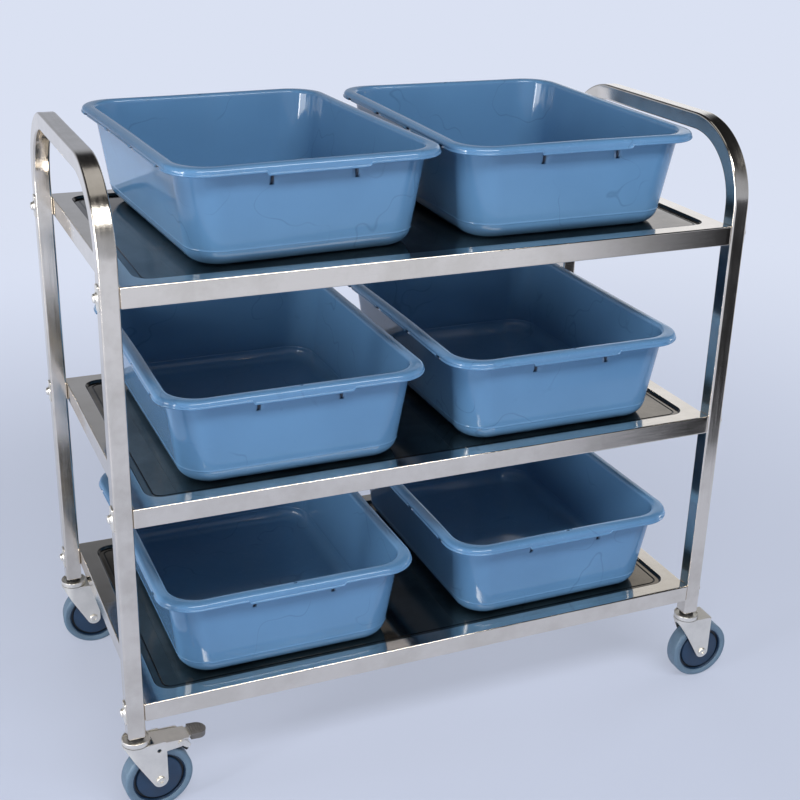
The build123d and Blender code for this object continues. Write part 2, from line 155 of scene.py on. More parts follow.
@dataclass(frozen=True)
class MetalFinish:
    """Rolled or plated sheet metal: polishing lines, faint stains and a slow ripple in the sheet."""

    name: Finish
    colour: str
    stain: str
    roughness: float
    roughness_spread: float
    line_spacing_mm: float
    line_stretch: tuple[float, float, float]
    line_height_mm: float
    stain_size_mm: float
    ripple_size_mm: float
    ripple_height_mm: float
    stain_band: tuple[float, float] = (0.38, 0.58)
    streak_band: tuple[float, float] = (0.12, 0.42)

    def build(self) -> bpy.types.Material:
        """Make the metal's node material.

        Stains tint the colour, lines times stains set the roughness, and ripple and lines are the bump.

        Returns:
            The metal's material.
        """
        material, tree, surface, place = new_material(self.name)
        drawn = add(tree, "Mapping", {"Vector": place, "Scale": self.line_stretch})
        lines = add(tree, "TexNoise", {
            "Vector": drawn.outputs["Vector"], "Scale": waves_per_metre(self.line_spacing_mm),
            "Detail": 3.0}).outputs["Fac"]
        stains = add(tree, "TexNoise", {
            "Vector": place, "Scale": waves_per_metre(self.stain_size_mm),
            "Detail": 5.0, "Roughness": 0.6}).outputs["Fac"]
        ripple = add(tree, "TexNoise", {
            "Vector": place, "Scale": waves_per_metre(self.ripple_size_mm), "Detail": 1.0})
        tint = add(
            tree, "ValToRGB", {"Fac": stains}, marks=tint_marks(self.stain_band, self.stain, self.colour))
        mixed = add(tree, "Math", {0: lines, 1: stains}, operation="MULTIPLY")
        low, high = self.streak_band
        rough = add(tree, "MapRange", {
            "Value": mixed.outputs["Value"], "From Min": low, "From Max": high,
            "To Min": self.roughness, "To Max": self.roughness + self.roughness_spread})
        rippled = add(tree, "Bump", {
            "Height": ripple.outputs["Fac"], "Distance": self.ripple_height_mm * MM, "Strength": 1.0})
        lined = add(tree, "Bump", {
            "Height": lines, "Distance": self.line_height_mm * MM, "Strength": 1.0,
            "Normal": rippled.outputs["Normal"]})
        surface.inputs["Metallic"].default_value = 1.0
        tree.links.new(tint.outputs["Color"], surface.inputs["Base Color"])
        tree.links.new(rough.outputs["Result"], surface.inputs["Roughness"])
        tree.links.new(lined.outputs["Normal"], surface.inputs["Normal"])
        return material


@dataclass(frozen=True)
class MouldedFinish:
    """Moulded plastic or rubber: slow colour drift, fine skin, hair scratches and scuffed edges."""

    name: Finish
    colour: str
    drift: str
    # Colour of the painted shade in slots, notches and grooves; hair scratches are drawn in it too.
    scuff: str
    shade_and_scratch: str
    roughness: float
    roughness_spread: float
    ior: float
    drift_size_mm: float
    skin_size_mm: float
    skin_height_mm: float
    scuff_size_mm: float
    drift_band: tuple[float, float] = (0.3, 0.7)
    scuff_band: tuple[float, float] = (0.56, 0.78)
    hair_spacing: float = 0.8
    hair_width: float = 0.007
    hair_depth: float = 0.22
    hair_patches: tuple[float, float] = (0.47, 0.57)

    def build(self) -> bpy.types.Material:
        """Make the moulded skin's node material.

        Scuffs are a noise above a level times the mesh's "wear". Hair scratches are the lines where a
        slow noise crosses its middle, in patches of the drift. The mesh's shade mask paints shade into
        slots.

        Returns:
            The moulded skin's material.
        """
        material, tree, surface, place = new_material(self.name)
        drift = add(tree, "TexNoise", {
            "Vector": place, "Scale": waves_per_metre(self.drift_size_mm),
            "Detail": 4.0, "Roughness": 0.55}).outputs["Fac"]
        skin = add(tree, "TexNoise", {
            "Vector": place, "Scale": waves_per_metre(self.skin_size_mm), "Detail": 2.0})
        scuffs = add(tree, "TexNoise", {
            "Vector": place, "Scale": waves_per_metre(self.scuff_size_mm),
            "Detail": 8.0, "Roughness": 0.7, "Distortion": 1.5})
        trails = add(tree, "TexNoise", {
            "Vector": place, "Scale": waves_per_metre(self.hair_spacing * self.drift_size_mm),
            "Detail": 2.0, "Roughness": 0.5})
        wear = add(tree, "Attribute", attribute_name="wear").outputs["Fac"]
        shade_and_scratch = add(tree, "Attribute", attribute_name="shade_and_scratch").outputs["Fac"]
        tint = add(
            tree, "ValToRGB", {"Fac": drift}, marks=tint_marks(self.drift_band, self.drift, self.colour))
        low, high = self.scuff_band
        rubbed = add(tree, "MapRange", {
            "Value": scuffs.outputs["Fac"], "From Min": low, "From Max": high})
        worn = add(tree, "Math", {0: rubbed.outputs["Result"], 1: wear}, operation="MULTIPLY")
        scuffed = add(tree, "Mix", {
            MIX_SHARE: worn.outputs["Value"], MIX_FIRST: tint.outputs["Color"],
            MIX_SECOND: linear(self.scuff)}, data_type="RGBA")
        offset = add(tree, "Math", {0: trails.outputs["Fac"], 1: NOISE_MIDDLE}, operation="SUBTRACT")
        away = add(tree, "Math", {0: offset.outputs["Value"]}, operation="ABSOLUTE")
        hair = add(tree, "MapRange", {
            "Value": away.outputs["Value"], "From Max": self.hair_width,
            "To Min": self.hair_depth, "To Max": 0.0})
        low, high = self.hair_patches
        patch = add(tree, "MapRange", {"Value": drift, "From Min": low, "From Max": high})
        scored = add(tree, "Math", {
            0: hair.outputs["Result"], 1: patch.outputs["Result"]}, operation="MULTIPLY")
        marked = add(tree, "Mix", {
            MIX_SHARE: scored.outputs["Value"], MIX_FIRST: scuffed.outputs[MIX_RESULT],
            MIX_SECOND: linear(self.shade_and_scratch)}, data_type="RGBA")
        # Painted shade: the mesh's mask mixes in the dark shade colour.
        shaded = add(tree, "Mix", {
            MIX_SHARE: shade_and_scratch, MIX_FIRST: marked.outputs[MIX_RESULT],
            MIX_SECOND: linear(self.shade_and_scratch)}, data_type="RGBA")
        low, high = self.drift_band
        rough = add(tree, "MapRange", {
            "Value": drift, "From Min": low, "From Max": high,
            "To Min": self.roughness, "To Max": self.roughness + self.roughness_spread})
        dulled = add(tree, "Math", {
            0: worn.outputs["Value"], 1: self.roughness_spread, 2: rough.outputs["Result"]},
            operation="MULTIPLY_ADD")
        bump = add(tree, "Bump", {
            "Height": skin.outputs["Fac"], "Distance": self.skin_height_mm * MM, "Strength": 1.0})
        surface.inputs["IOR"].default_value = self.ior
        tree.links.new(shaded.outputs[MIX_RESULT], surface.inputs["Base Color"])
        tree.links.new(dulled.outputs["Value"], surface.inputs["Roughness"])
        tree.links.new(bump.outputs["Normal"], surface.inputs["Normal"])
        return material


@dataclass(frozen=True)
class FloorFinish:
    """Painted studio floor: takes the trolley's shadow and is evenly pale further out."""

    name: Finish
    colour: str
    paint: str
    patch: str
    patch_size_mm: float
    lift: float
    lift_start_mm: float
    lift_end_mm: float
    patch_band: tuple[float, float] = (0.3, 0.7)
    roughness: float = 0.7
    specular: float = 0.2

    def build(self) -> bpy.types.Material:
        """Make the floor's node material.

        The paint takes the lamps' light and the shadow. Rays that see the floor, straight or in the
        metal, see a share of its plain colour, which grows with the distance from the trolley.

        Returns:
            Material for the floor.
        """
        material, tree, surface, place = new_material(self.name)
        patches = add(tree, "TexNoise", {
            "Vector": place, "Scale": waves_per_metre(self.patch_size_mm), "Detail": 2.0})
        tint = add(
            tree, "ValToRGB", {"Fac": patches.outputs["Fac"]},
            marks=tint_marks(self.patch_band, self.patch, self.paint))
        tree.links.new(tint.outputs["Color"], surface.inputs["Base Color"])
        surface.inputs["Roughness"].default_value = self.roughness
        surface.inputs["Specular IOR Level"].default_value = self.specular
        away = add(tree, "VectorMath", {0: place}, operation="LENGTH").outputs["Value"]
        far = add(tree, "MapRange", {
            "Value": away, "From Min": self.lift_start_mm * MM, "From Max": self.lift_end_mm * MM,
            "To Min": self.lift}, interpolation_type="SMOOTHSTEP")
        path = add(tree, "LightPath").outputs
        seen = path["Is Camera Ray"]
        for ray in ("Is Glossy Ray", "Is Transmission Ray"):
            seen = add(tree, "Math", {0: seen, 1: path[ray]}, operation="MAXIMUM").outputs["Value"]
        share = add(tree, "Math", {0: seen, 1: far.outputs["Result"]}, operation="MULTIPLY")
        plain = add(tree, "Emission", {"Color": linear(self.colour), "Strength": 1.0})
        both = add(tree, "MixShader", {
            0: share.outputs["Value"], 1: surface.outputs["BSDF"], 2: plain.outputs["Emission"]})
        tree.links.new(both.outputs["Shader"], tree.nodes["Material Output"].inputs["Surface"])
        return material


@dataclass(frozen=True)
class FlagFinish:
    """Black cloth that thins out towards one edge."""

    name: Finish
    colour: str
    thread: str
    thread_mm: float
    thin_edge_mm: float
    thick_edge_mm: float
    thread_band: tuple[float, float] = (0.3, 0.7)
    roughness: float = 0.9

    def build(self) -> bpy.types.Material:
        """Make the cloth's node material: a share of clear that falls from 1 to 0 along X.

        Returns:
            Material for the studio's flag.
        """
        material, tree, surface, place = new_material(self.name)
        threads = add(tree, "TexNoise", {
            "Vector": place, "Scale": waves_per_metre(self.thread_mm), "Detail": 1.0})
        tint = add(
            tree, "ValToRGB", {"Fac": threads.outputs["Fac"]},
            marks=tint_marks(self.thread_band, self.colour, self.thread))
        tree.links.new(tint.outputs["Color"], surface.inputs["Base Color"])
        surface.inputs["Roughness"].default_value = self.roughness
        along = add(tree, "SeparateXYZ", {"Vector": place}).outputs["X"]
        thick = add(tree, "MapRange", {
            "Value": along, "From Min": self.thin_edge_mm * MM, "From Max": self.thick_edge_mm * MM},
            interpolation_type="SMOOTHSTEP")
        clear = add(tree, "BsdfTransparent")
        both = add(tree, "MixShader", {
            0: thick.outputs["Result"], 1: clear.outputs["BSDF"], 2: surface.outputs["BSDF"]})
        tree.links.new(both.outputs["Shader"], tree.nodes["Material Output"].inputs["Surface"])
        return material


FINISHES = (
    # Bright-annealed stainless sheet, buffed: a near mirror with a slow wave from the rolls. Its
    # polishing lines are drawn coarse enough to show.
    MetalFinish(
        Finish.BUFFED_SHEET, colour="#E8E0D5", stain="#DED6CA", roughness=0.06,
        roughness_spread=0.11, line_spacing_mm=2.4, line_stretch=(0.05, 1.0, 1.0), line_height_mm=0.003,
        stain_size_mm=70.0, ripple_size_mm=120.0, ripple_height_mm=0.3),
    # Welded stainless tube, buffed: softer than the sheet, with streaks drawn coarse enough to show.
    MetalFinish(
        Finish.BUFFED_TUBE, colour="#E8E0D5", stain="#D8D0C4", roughness=0.12,
        roughness_spread=0.12, line_spacing_mm=3.2, line_stretch=(1.0, 0.03, 0.03), line_height_mm=0.03,
        stain_size_mm=70.0, ripple_size_mm=90.0, ripple_height_mm=0.3),
    # The shelves' sunk floors: same sheet, painted dark to stand in for the shade it mirrors below the
    # tubs.
    MetalFinish(
        Finish.SHELF_FLOOR_PAINTED_DARK, colour="#877F74", stain="#6A645B", roughness=0.05,
        roughness_spread=0.06, line_spacing_mm=1.6, line_stretch=(0.05, 1.0, 1.0), line_height_mm=0.0012,
        stain_size_mm=110.0, ripple_size_mm=85.0, ripple_height_mm=0.6),
    # The pressed fold round each floor: drawn sheet that stays dull, painted dark as painted shade along
    # the recess wall.
    MetalFinish(
        Finish.SHELF_FOLD_PAINTED_SHADE, colour="#4A4743", stain="#3A3835", roughness=0.12,
        roughness_spread=0.10, line_spacing_mm=1.6, line_stretch=(1.0, 1.0, 1.0), line_height_mm=0.0012,
        stain_size_mm=60.0, ripple_size_mm=85.0, ripple_height_mm=0.1),
    # Bright zinc plate on pressed steel: near white with a slight bloom.
    MetalFinish(
        Finish.ZINC_PLATE, colour="#F2EDE3", stain="#E9E4DA", roughness=0.34,
        roughness_spread=0.10, line_spacing_mm=1.2, line_stretch=(1.0, 1.0, 1.0), line_height_mm=0.0008,
        stain_size_mm=30.0, ripple_size_mm=60.0, ripple_height_mm=0.05),
    # Injection-moulded polypropylene: glossy, with slow flow marks, hair scratches and scuffs on the rim;
    # its dark second colour is painted shade for the slots and notches.
    MouldedFinish(
        Finish.POLYPROPYLENE, colour="#5A84AB", drift="#557DA3", scuff="#86A6C7", shade_and_scratch="#101F33",
        roughness=0.06, roughness_spread=0.04, ior=1.50, drift_size_mm=150.0, skin_size_mm=2.2,
        skin_height_mm=0.0012, scuff_size_mm=9.0),
    # Thermoplastic rubber tread: satin, dusted where it meets the floor.
    MouldedFinish(
        Finish.TYRE_RUBBER, colour="#5F7689", drift="#566C7F", scuff="#8896A2", shade_and_scratch="#2F4152",
        roughness=0.42, roughness_spread=0.14, ior=1.52, drift_size_mm=22.0, skin_size_mm=0.7,
        skin_height_mm=0.02, scuff_size_mm=6.0),
    # Moulded nylon wheel centre: dark blue and half glossy, with painted shade in its groove.
    MouldedFinish(
        Finish.HUB_NYLON, colour="#16334F", drift="#112B45", scuff="#3A5574", shade_and_scratch="#050A12",
        roughness=0.34, roughness_spread=0.12, ior=1.53, drift_size_mm=16.0, skin_size_mm=0.8,
        skin_height_mm=0.012, scuff_size_mm=7.0),
    # Moulded polyethylene leg plugs: black, with a soft sheen.
    MouldedFinish(
        Finish.BLACK_PLASTIC, colour="#1B1B1D", drift="#141416", scuff="#3A3A3E", shade_and_scratch="#050506",
        roughness=0.42, roughness_spread=0.12, ior=1.5, drift_size_mm=12.0, skin_size_mm=0.6,
        skin_height_mm=0.02, scuff_size_mm=5.0),
    # Moulded brake rubber: black and matt.
    MouldedFinish(
        Finish.BLACK_RUBBER, colour="#1A1A1A", drift="#121212", scuff="#3C3C3C", shade_and_scratch="#060606",
        roughness=0.7, roughness_spread=0.12, ior=1.52, drift_size_mm=8.0, skin_size_mm=0.5,
        skin_height_mm=0.03, scuff_size_mm=4.0),
    # Moulded pedal caps: dark grey plastic, polished by shoe soles.
    MouldedFinish(
        Finish.PEDAL_PLASTIC, colour="#666361", drift="#5A5755", scuff="#8A8580", shade_and_scratch="#0B0B0B",
        roughness=0.34, roughness_spread=0.14, ior=1.5, drift_size_mm=10.0, skin_size_mm=0.6,
        skin_height_mm=0.02, scuff_size_mm=3.0),
    # Matt floor paint, pale blue grey.
    FloorFinish(
        Finish.STUDIO_FLOOR, colour="#DAE1F2", paint="#AFB7CC", patch="#ABB3C9", patch_size_mm=900.0,
        lift=0.45, lift_start_mm=800.0, lift_end_mm=3000.0),
    # Black cotton velvet on a studio flag: swallows light and leaves a dark band in the polished steel.
    FlagFinish(
        Finish.FLAG_CLOTH, colour="#0B0B0C", thread="#151516", thread_mm=1.5, thin_edge_mm=420.0,
        thick_edge_mm=1000.0),
)


def lay_grid(
    name: str, points: np.ndarray, closed_rows: bool = False, marks: dict[str, np.ndarray] | None = None,
) -> bpy.types.Object:
    """Make a mesh from a grid whose columns run round a closed outline.

    Quads join each row to the next and the last column to the first. A row whose points are all
    one place becomes a single pole, and the points that no face uses are left out. The faces are turned
    round if the volume they close, a sixth of the sum of every triangle's triple product, is negative.

    Args:
        name: Name of the piece.
        points: Rows by columns by XYZ, in millimetres.
        closed_rows: Whether the last row joins the first.
        marks: Numbers to store for every point, by the name of their attribute.

    Returns:
        The new object, smooth shaded.
    """
    rows, columns, _ = points.shape
    index = np.arange(rows * columns).reshape(rows, columns)
    pole = np.ptp(points, axis=1).max(axis=1) < SAME_POINT
    index[pole] = index[pole, :1]
    used, index = np.unique(index, return_inverse=True)
    index = index.reshape(rows, columns)
    spots = points.reshape(-1, 3)[used]
    lower = index if closed_rows else index[:-1]
    upper = np.roll(index, -1, axis=0) if closed_rows else index[1:]
    quads = np.stack([lower, np.roll(lower, -1, 1), np.roll(upper, -1, 1), upper], axis=-1).reshape(-1, 4)
    a, b, c, d = (spots[quads[:, corner]] for corner in range(4))
    if (a * (np.cross(b, c) + np.cross(c, d))).sum() < 0:
        quads = quads[:, ::-1]
    low_pole = quads[:, 0] == quads[:, 1]
    high_pole = quads[:, 2] == quads[:, 3]
    faces = quads[~(low_pole | high_pole)].tolist()
    faces += quads[low_pole][:, [0, 2, 3]].tolist()
    faces += quads[high_pole][:, [0, 1, 2]].tolist()
    mesh = bpy.data.meshes.new(name)
    mesh.from_pydata((spots * MM).tolist(), [], faces)
    mesh.polygons.foreach_set("use_smooth", np.ones(len(mesh.polygons), bool))
    for label, values in (marks or {}).items():
        attribute = mesh.attributes.new(label, "FLOAT", "POINT")
        attribute.data.foreach_set("value", values.reshape(-1)[used].astype(np.float32))
    piece = bpy.data.objects.new(name, mesh)
    bpy.context.scene.collection.objects.link(piece)
    return piece


def distinct(*columns: np.ndarray) -> np.ndarray:
    """Mask of the rows that differ from the row before them in at least one of the given arrays."""
    moved = np.abs(np.diff(np.column_stack(columns), axis=0)).max(axis=1) > SAME_ROW
    return np.concatenate([[True], moved])


def soft_step(values: np.ndarray, start: float, end: float) -> np.ndarray:
    """Smooth rise from 0 to 1: three squares less two cubes of the share of the way from start to end."""
    share = np.clip((values - start) / (end - start), 0.0, 1.0)
    return share * share * (3.0 - 2.0 * share)


def window(values: np.ndarray, middle: float, width: float, edge: float) -> np.ndarray:
    """1 inside a band and 0 outside: one less a soft step of the distance from the band's middle."""
    return 1.0 - soft_step(np.abs(values - middle), width / 2, width / 2 + edge)


def bridge(start: np.ndarray, end: np.ndarray, share: np.ndarray) -> np.ndarray:
    """Rows on straight lines between two outlines: start plus a share of the way to end."""
    return start + (end - start) * share[:, None]


def quarter(steps: int) -> np.ndarray:
    """Angles of a quarter turn in radians, from 0 to 90 degrees."""
    return np.linspace(0.0, np.pi / 2, steps + 1)


def flat_run(steps: int, edge: float = 0.015) -> np.ndarray:
    """Shares from 0 to 1 with an extra row close to each end, which keeps flats flat beside folds."""
    return np.concatenate([[0.0], np.linspace(edge, 1.0 - edge, steps), [1.0]])


def side_run(count: int, extra: tuple[float, ...] = (), reach: float = 0.985) -> np.ndarray:
    """Even places from -1 to 1 on a side, with supports near its ends and extra places between.

    Args:
        count: Number of even places.
        extra: More places, each used on both halves of the side.
        reach: Outermost even place.

    Returns:
        Places in rising order.
    """
    even = np.linspace(-reach, reach, count)
    both = np.array([sign * value for value in extra for sign in (-1, 1)])
    return np.unique(np.round(np.concatenate([[-1.0, 1.0], even, both]), 5))


@dataclass(frozen=True)
class Outline:
    """Columns of a rounded rectangle: a share of its core rectangle plus a direction out of the core."""

    core: np.ndarray
    out: np.ndarray

    @staticmethod
    def make(along_x: np.ndarray, along_y: np.ndarray, corner_steps: int) -> "Outline":
        """Lay columns anticlockwise round the four sides and corners.

        A side's columns share one way out, and a corner's columns share its core point while their way
        out turns by 90 degrees.

        Args:
            along_x: Places from -1 to 1 on the two sides that run along X.
            along_y: Places from -1 to 1 on the two sides that run along Y.
            corner_steps: Steps in each corner's quarter turn.

        Returns:
            The outline's columns.
        """
        turn = quarter(corner_steps)[1:-1]
        ends = ((1, 1), (-1, 1), (-1, -1), (1, -1))
        core, out = [], []
        for number, end in enumerate(ends):
            angle = number * np.pi / 2
            upright = number % 2 == 0
            side = along_y if upright else along_x
            fixed = np.full_like(side, (1, 1, -1, -1)[number])
            run = side if number in (0, 3) else -side
            core.append(np.stack([fixed, run] if upright else [run, fixed], axis=1))
            out.append(np.tile([np.cos(angle), np.sin(angle)], (len(side), 1)))
            core.append(np.tile(np.array(end, float), (len(turn), 1)))
            out.append(np.stack([np.cos(angle + turn), np.sin(angle + turn)], axis=1))
        return Outline(np.concatenate(core), np.concatenate(out))

    def rows(self, sizes: np.ndarray, z: np.ndarray) -> np.ndarray:
        """Place the columns at every row: core point plus the corner radius along the way out.

        Args:
            sizes: Half size along X, half size along Y and corner radius of each row.
            z: Height of each row, or of each row and column.

        Returns:
            Rows by columns by XYZ.
        """
        half, radius = sizes[:, None, :2], sizes[:, 2, None, None]
        flat = self.core[None] * (half - radius) + radius * self.out[None]
        height = np.broadcast_to(z if z.ndim == 2 else z[:, None], flat.shape[:2])
        return np.concatenate([flat, height[..., None]], axis=-1)


def dress(piece: bpy.types.Object, *finishes: Finish) -> None:
    """Give a piece its materials and report it.

    Args:
        piece: New mesh object or CAD node.
        finishes: Finish of each of its material slots.
    """
    piece.data.materials.clear()
    for finish in finishes:
        piece.data.materials.append(bpy.data.materials[finish.value])
    worn = ", ".join(finish.value for finish in finishes)
    log.info("%s: %d faces in %s", piece.name, len(piece.data.polygons), worn)


def fit_out(piece: bpy.types.Object, node: str, body: str, slot: str, *finishes: Finish) -> None:
    """Finish a new piece: materials, the node it stands for and the body it rides on.

    Args:
        piece: The new mesh object.
        node: CAD node that the piece replaces.
        body: Body that it rides on.
        slot: Material slot of the record; not used.
        finishes: Finish of each of its material slots.
    """
    dress(piece, *finishes)
    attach(piece, body)
    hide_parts(node)


@dataclass
class BusTub:
    """One moulded tub: drafted walls, rolled foot, rolled rim and a lip that is deeper at two grips."""

    tier: str
    side: str
    x: float
    y: float
    seed: int
    turn: float = 0.0
    on_border: bool = False
    width: float = 390.0
    length: float = 488.0
    height: float = 137.0
    wall: float = 2.8
    rim_width: float = 19.0
    rim_corner: float = 55.0
    rim_roll: float = 6.0
    rim_crown: float = 0.5
    rim_gap: float = 1.0
    lip_drop: float = 10.5
    lip_inset: float = 1.2
    lip_bead: float = 2.0
    mouth_roll: float = 4.0
    base_width: float = 320.0
    base_length: float = 428.0
    base_corner: float = 46.0
    base_roll: float = 20.0
    grip_width: float = 140.0
    grip_drop: float = 4.0
    grip_edge: float = 3.0
    slot_place: float = 59.0
    slot_width: float = 4.5
    slot_height: float = 13.0
    slot_drop: float = 3.0
    slot_depth: float = 2.4
    slot_edge: float = 0.5
    notch_places: tuple[float, float] = (57.5, 172.5)
    notch_length: float = 12.0
    notch_depth: float = 3.4
    gate_radius: float = 3.0
    gate_depth: float = 1.2
    gate_flat: float = 3.6
    gate_edge: float = 1.5
    gate_inset: float = 2.0
    gate_shade: float = 0.8
    bead_level: float = 22.5
    bead_proud: float = 0.45
    bead_flat: float = 0.4
    bead_edge: float = 1.4
    bead_rows: tuple[float, ...] = (-1.6, -1.1, -0.6, 0.0, 0.6, 1.1, 1.6)
    bow: float = 1.2
    bow_power: float = 1.5
    ripple: float = 0.35
    ripple_waves: tuple[tuple[int, float], ...] = ((3, 1.0), (5, 0.6), (9, 0.3))
    border_rise: float = 4.5
    recess_back: float = 222.0
    support: float = 0.3
    floor_rows: int = 9
    foot_steps: int = 10
    inner_rows: int = 14
    mouth_steps: int = 6
    rim_rows: int = 7
    rim_steps: int = 8
    lip_rows: int = 2
    bead_steps: int = 16
    wall_rows: int = 22
    base_rows: int = 5
    columns: tuple[int, int, int] = (31, 37, 14)

    @property
    def node(self) -> str:
        """Name of the CAD node and of its body."""
        return f"{self.tier}_{self.side}_tub"

    @property
    def slot_level(self) -> float:
        """Height of the middle of the grips' slots."""
        return self.height - self.lip_drop - self.grip_drop - self.slot_drop - self.slot_height / 2

    def shell(
        self, z: np.ndarray, inset: np.ndarray | float,
    ) -> tuple[np.ndarray, np.ndarray, np.ndarray]:
        """Half sizes and corner of the drafted wall: base sizes plus a share of the growth up to the rim.

        Args:
            z: Heights above the base.
            inset: How far inside the outer wall the outline lies.

        Returns:
            Half width, half length and corner radius at every height.
        """
        share = z / self.height
        reach = self.rim_width - self.wall
        half_x = (self.base_width + share * (self.width - 2 * reach - self.base_width)) / 2 - inset
        half_y = (self.base_length + share * (self.length - 2 * reach - self.base_length)) / 2 - inset
        corner = self.base_corner + share * (self.rim_corner - reach / 2 - self.base_corner) - inset
        return half_x, half_y, corner

    def rim(self, inset: np.ndarray) -> tuple[np.ndarray, np.ndarray, np.ndarray]:
        """Half sizes and corner of the rim's outer edge, moved inwards by an inset."""
        return self.width / 2 - inset, self.length / 2 - inset, self.rim_corner - inset

    def profile(self) -> tuple[np.ndarray, ...]:
        """Rows from the middle of the inside floor over the rim to the middle of the base.

        Every roll is a quarter circle: its radius times one less the sine gives the inset, and times one
        less the cosine the height. The bead of the lip is a longer arc, and flats are straight runs.

        Returns:
            Half sizes and corner of every row, its height, how far it follows the grips' lip, its wear,
            and whether it lies on the outer wall.
        """
        parts: list[tuple] = []

        def put(
            outline: tuple, z: np.ndarray, lip: np.ndarray | float = 0.0, wear: float = 0.02,
            outer: bool = False,
        ) -> None:
            """Add rows with their share of the lip's drop and one level of wear."""
            shared = [np.broadcast_to(np.asarray(value, float), z.shape) for value in (lip, wear, outer)]
            parts.append((np.stack(outline, axis=1), z, *shared))

        wall, roll, top, mouth = self.wall, self.base_roll, self.height, self.mouth_roll
        # Inside: floor, rolled foot, wall and rolled mouth.
        inner_roll = roll - wall
        turn = quarter(self.foot_steps)
        share = np.linspace(0.0, 1.0, self.floor_rows)
        level = np.full_like(share, wall)
        put(tuple(size * share for size in self.shell(level, roll)), level, wear=0.25)
        z = wall + inner_roll * (1 - np.cos(turn))
        put(self.shell(z, wall + inner_roll * (1 - np.sin(turn))), z, wear=0.12)
        z = wall + inner_roll + (top - mouth - wall - inner_roll) * flat_run(self.inner_rows)
        z = np.unique(np.concatenate([z, self.bead_heights()]))
        put(self.shell(z, wall - self.bead_rise(z)), z)
        bend = quarter(self.mouth_steps)
        z = top - mouth + mouth * np.sin(bend)
        put(self.shell(z, wall - mouth * (1 - np.cos(bend))), z, wear=0.2)
        # Rim: slightly crowned top, rolled edge, lip and the bead along the lip's lower edge.
        share = flat_run(self.rim_rows, edge=0.06)
        level = np.full_like(share, top)
        start = np.stack(self.shell(level, wall - mouth), axis=1)
        end = np.stack(self.rim(np.full_like(share, self.lip_inset + self.rim_roll)), axis=1)
        crown = level + self.rim_crown * np.sin(np.pi * share)
        put(tuple(bridge(start, end, share).T), crown, wear=0.15)
        bend = quarter(self.rim_steps)
        curl = self.lip_inset + self.rim_roll * (1 - np.sin(bend))
        put(self.rim(curl), top - self.rim_roll * (1 - np.cos(bend)), wear=0.45)
        radius = self.lip_bead
        low = top - self.lip_drop + radius
        lean = math.acos(1 - self.lip_inset / radius)
        high = low + radius * math.sin(lean)
        share = flat_run(self.lip_rows, edge=0.12)
        z = top - self.rim_roll + (high - top + self.rim_roll) * share
        put(self.rim(np.full_like(share, self.lip_inset)), z, lip=share, wear=0.2)
        bend = np.linspace(lean, -np.pi, self.bead_steps + 1)
        put(self.rim(radius * (1 - np.cos(bend))), low + radius * np.sin(bend), lip=1.0, wear=0.3)
        # Underneath: back of the lip, underside of the rim, outer wall, rolled foot and base.
        under = top - wall - self.rim_gap
        share = np.array([0.1, 0.9])
        put(self.rim(np.full_like(share, 2 * radius)), low + (under - low) * share, lip=1.0 - share)
        share = np.array([0.05, 0.5, 0.95])
        level = np.full_like(share, under)
        start = np.stack(self.rim(np.full_like(share, 2 * radius)), axis=1)
        end = np.stack(self.shell(level, 0.0), axis=1)
        put(tuple(bridge(start, end, share).T), level)
        z = self.wall_heights(under - self.support, roll)
        put(self.shell(z, -self.bead_rise(z)), z, outer=True)
        turn = turn[::-1]
        z = roll * (1 - np.cos(turn))
        put(self.shell(z, roll * (1 - np.sin(turn))), z, wear=0.3, outer=True)
        share = np.linspace(1.0, 0.0, self.base_rows + 1)[1:]
        level = np.zeros_like(share)
        put(tuple(size * share for size in self.shell(level, roll)), level, wear=0.4)
        sizes, z, lip, wear, outer = (np.concatenate(group) for group in zip(*parts))
        keep = distinct(sizes, z, lip)
        return sizes[keep], z[keep], lip[keep], wear[keep], outer[keep]

    def edges(self, middle: float, size: float) -> list[float]:
        """Both edges of a slot or notch: its middle less and plus half its size, and a soft edge more."""
        return [middle + sign * (size / 2 + step) for sign in (-1, 1) for step in (0.0, self.slot_edge)]

    def wall_heights(self, high: float, low: float) -> np.ndarray:
        """Row heights of the outer wall: even ones, both edges of each slot, and the bead's.

        Args:
            high: Highest row.
            low: Lowest row.

        Returns:
            Heights in falling order.
        """
        even = np.linspace(high, low, self.wall_rows)
        slots = self.edges(self.slot_level, self.slot_height)
        return np.unique(np.round(np.concatenate([even, slots, self.bead_heights()]), 3))[::-1]

    def bead_heights(self) -> np.ndarray:
        """Row heights across the small bead where the wall meets the rolled foot."""
        return self.bead_level + np.array(self.bead_rows)

    def bead_rise(self, z: np.ndarray) -> np.ndarray:
        """How far the bead stands out at every height: a soft hump round its middle."""
        return self.bead_proud * window(z, self.bead_level, self.bead_flat, self.bead_edge)

    def outline(self) -> Outline:
        """Lay columns round the tub, with columns on both edges of each slot, notch, grip and gate mark.

        A place along a side is divided by the length of the straight run it lies on.

        Returns:
            The tub's outline.
        """
        wall_x, _, wall_corner = self.shell(np.array([self.slot_level]), 0.0)
        wall_run = float(wall_x[0] - wall_corner[0])
        rim_run_x, rim_run_y = self.width / 2 - self.rim_corner, self.length / 2 - self.rim_corner
        lips = [self.grip_width / 2 + share * self.grip_edge for share in (0.0, 0.5, 1.0)]
        lips += [self.gate_radius * share for share in (0.0, 0.4, 0.7, 1.0, 1.4)]
        notches = [edge for middle in self.notch_places for edge in self.edges(middle, self.notch_length)]
        on_x = [edge / wall_run for edge in self.edges(self.slot_place, self.slot_width)]
        on_x += [place / rim_run_x for place in lips]
        short, long, corner = self.columns
        along_y = side_run(long, tuple(place / rim_run_y for place in notches))
        return Outline.make(side_run(short, tuple(on_x)), along_y, corner)

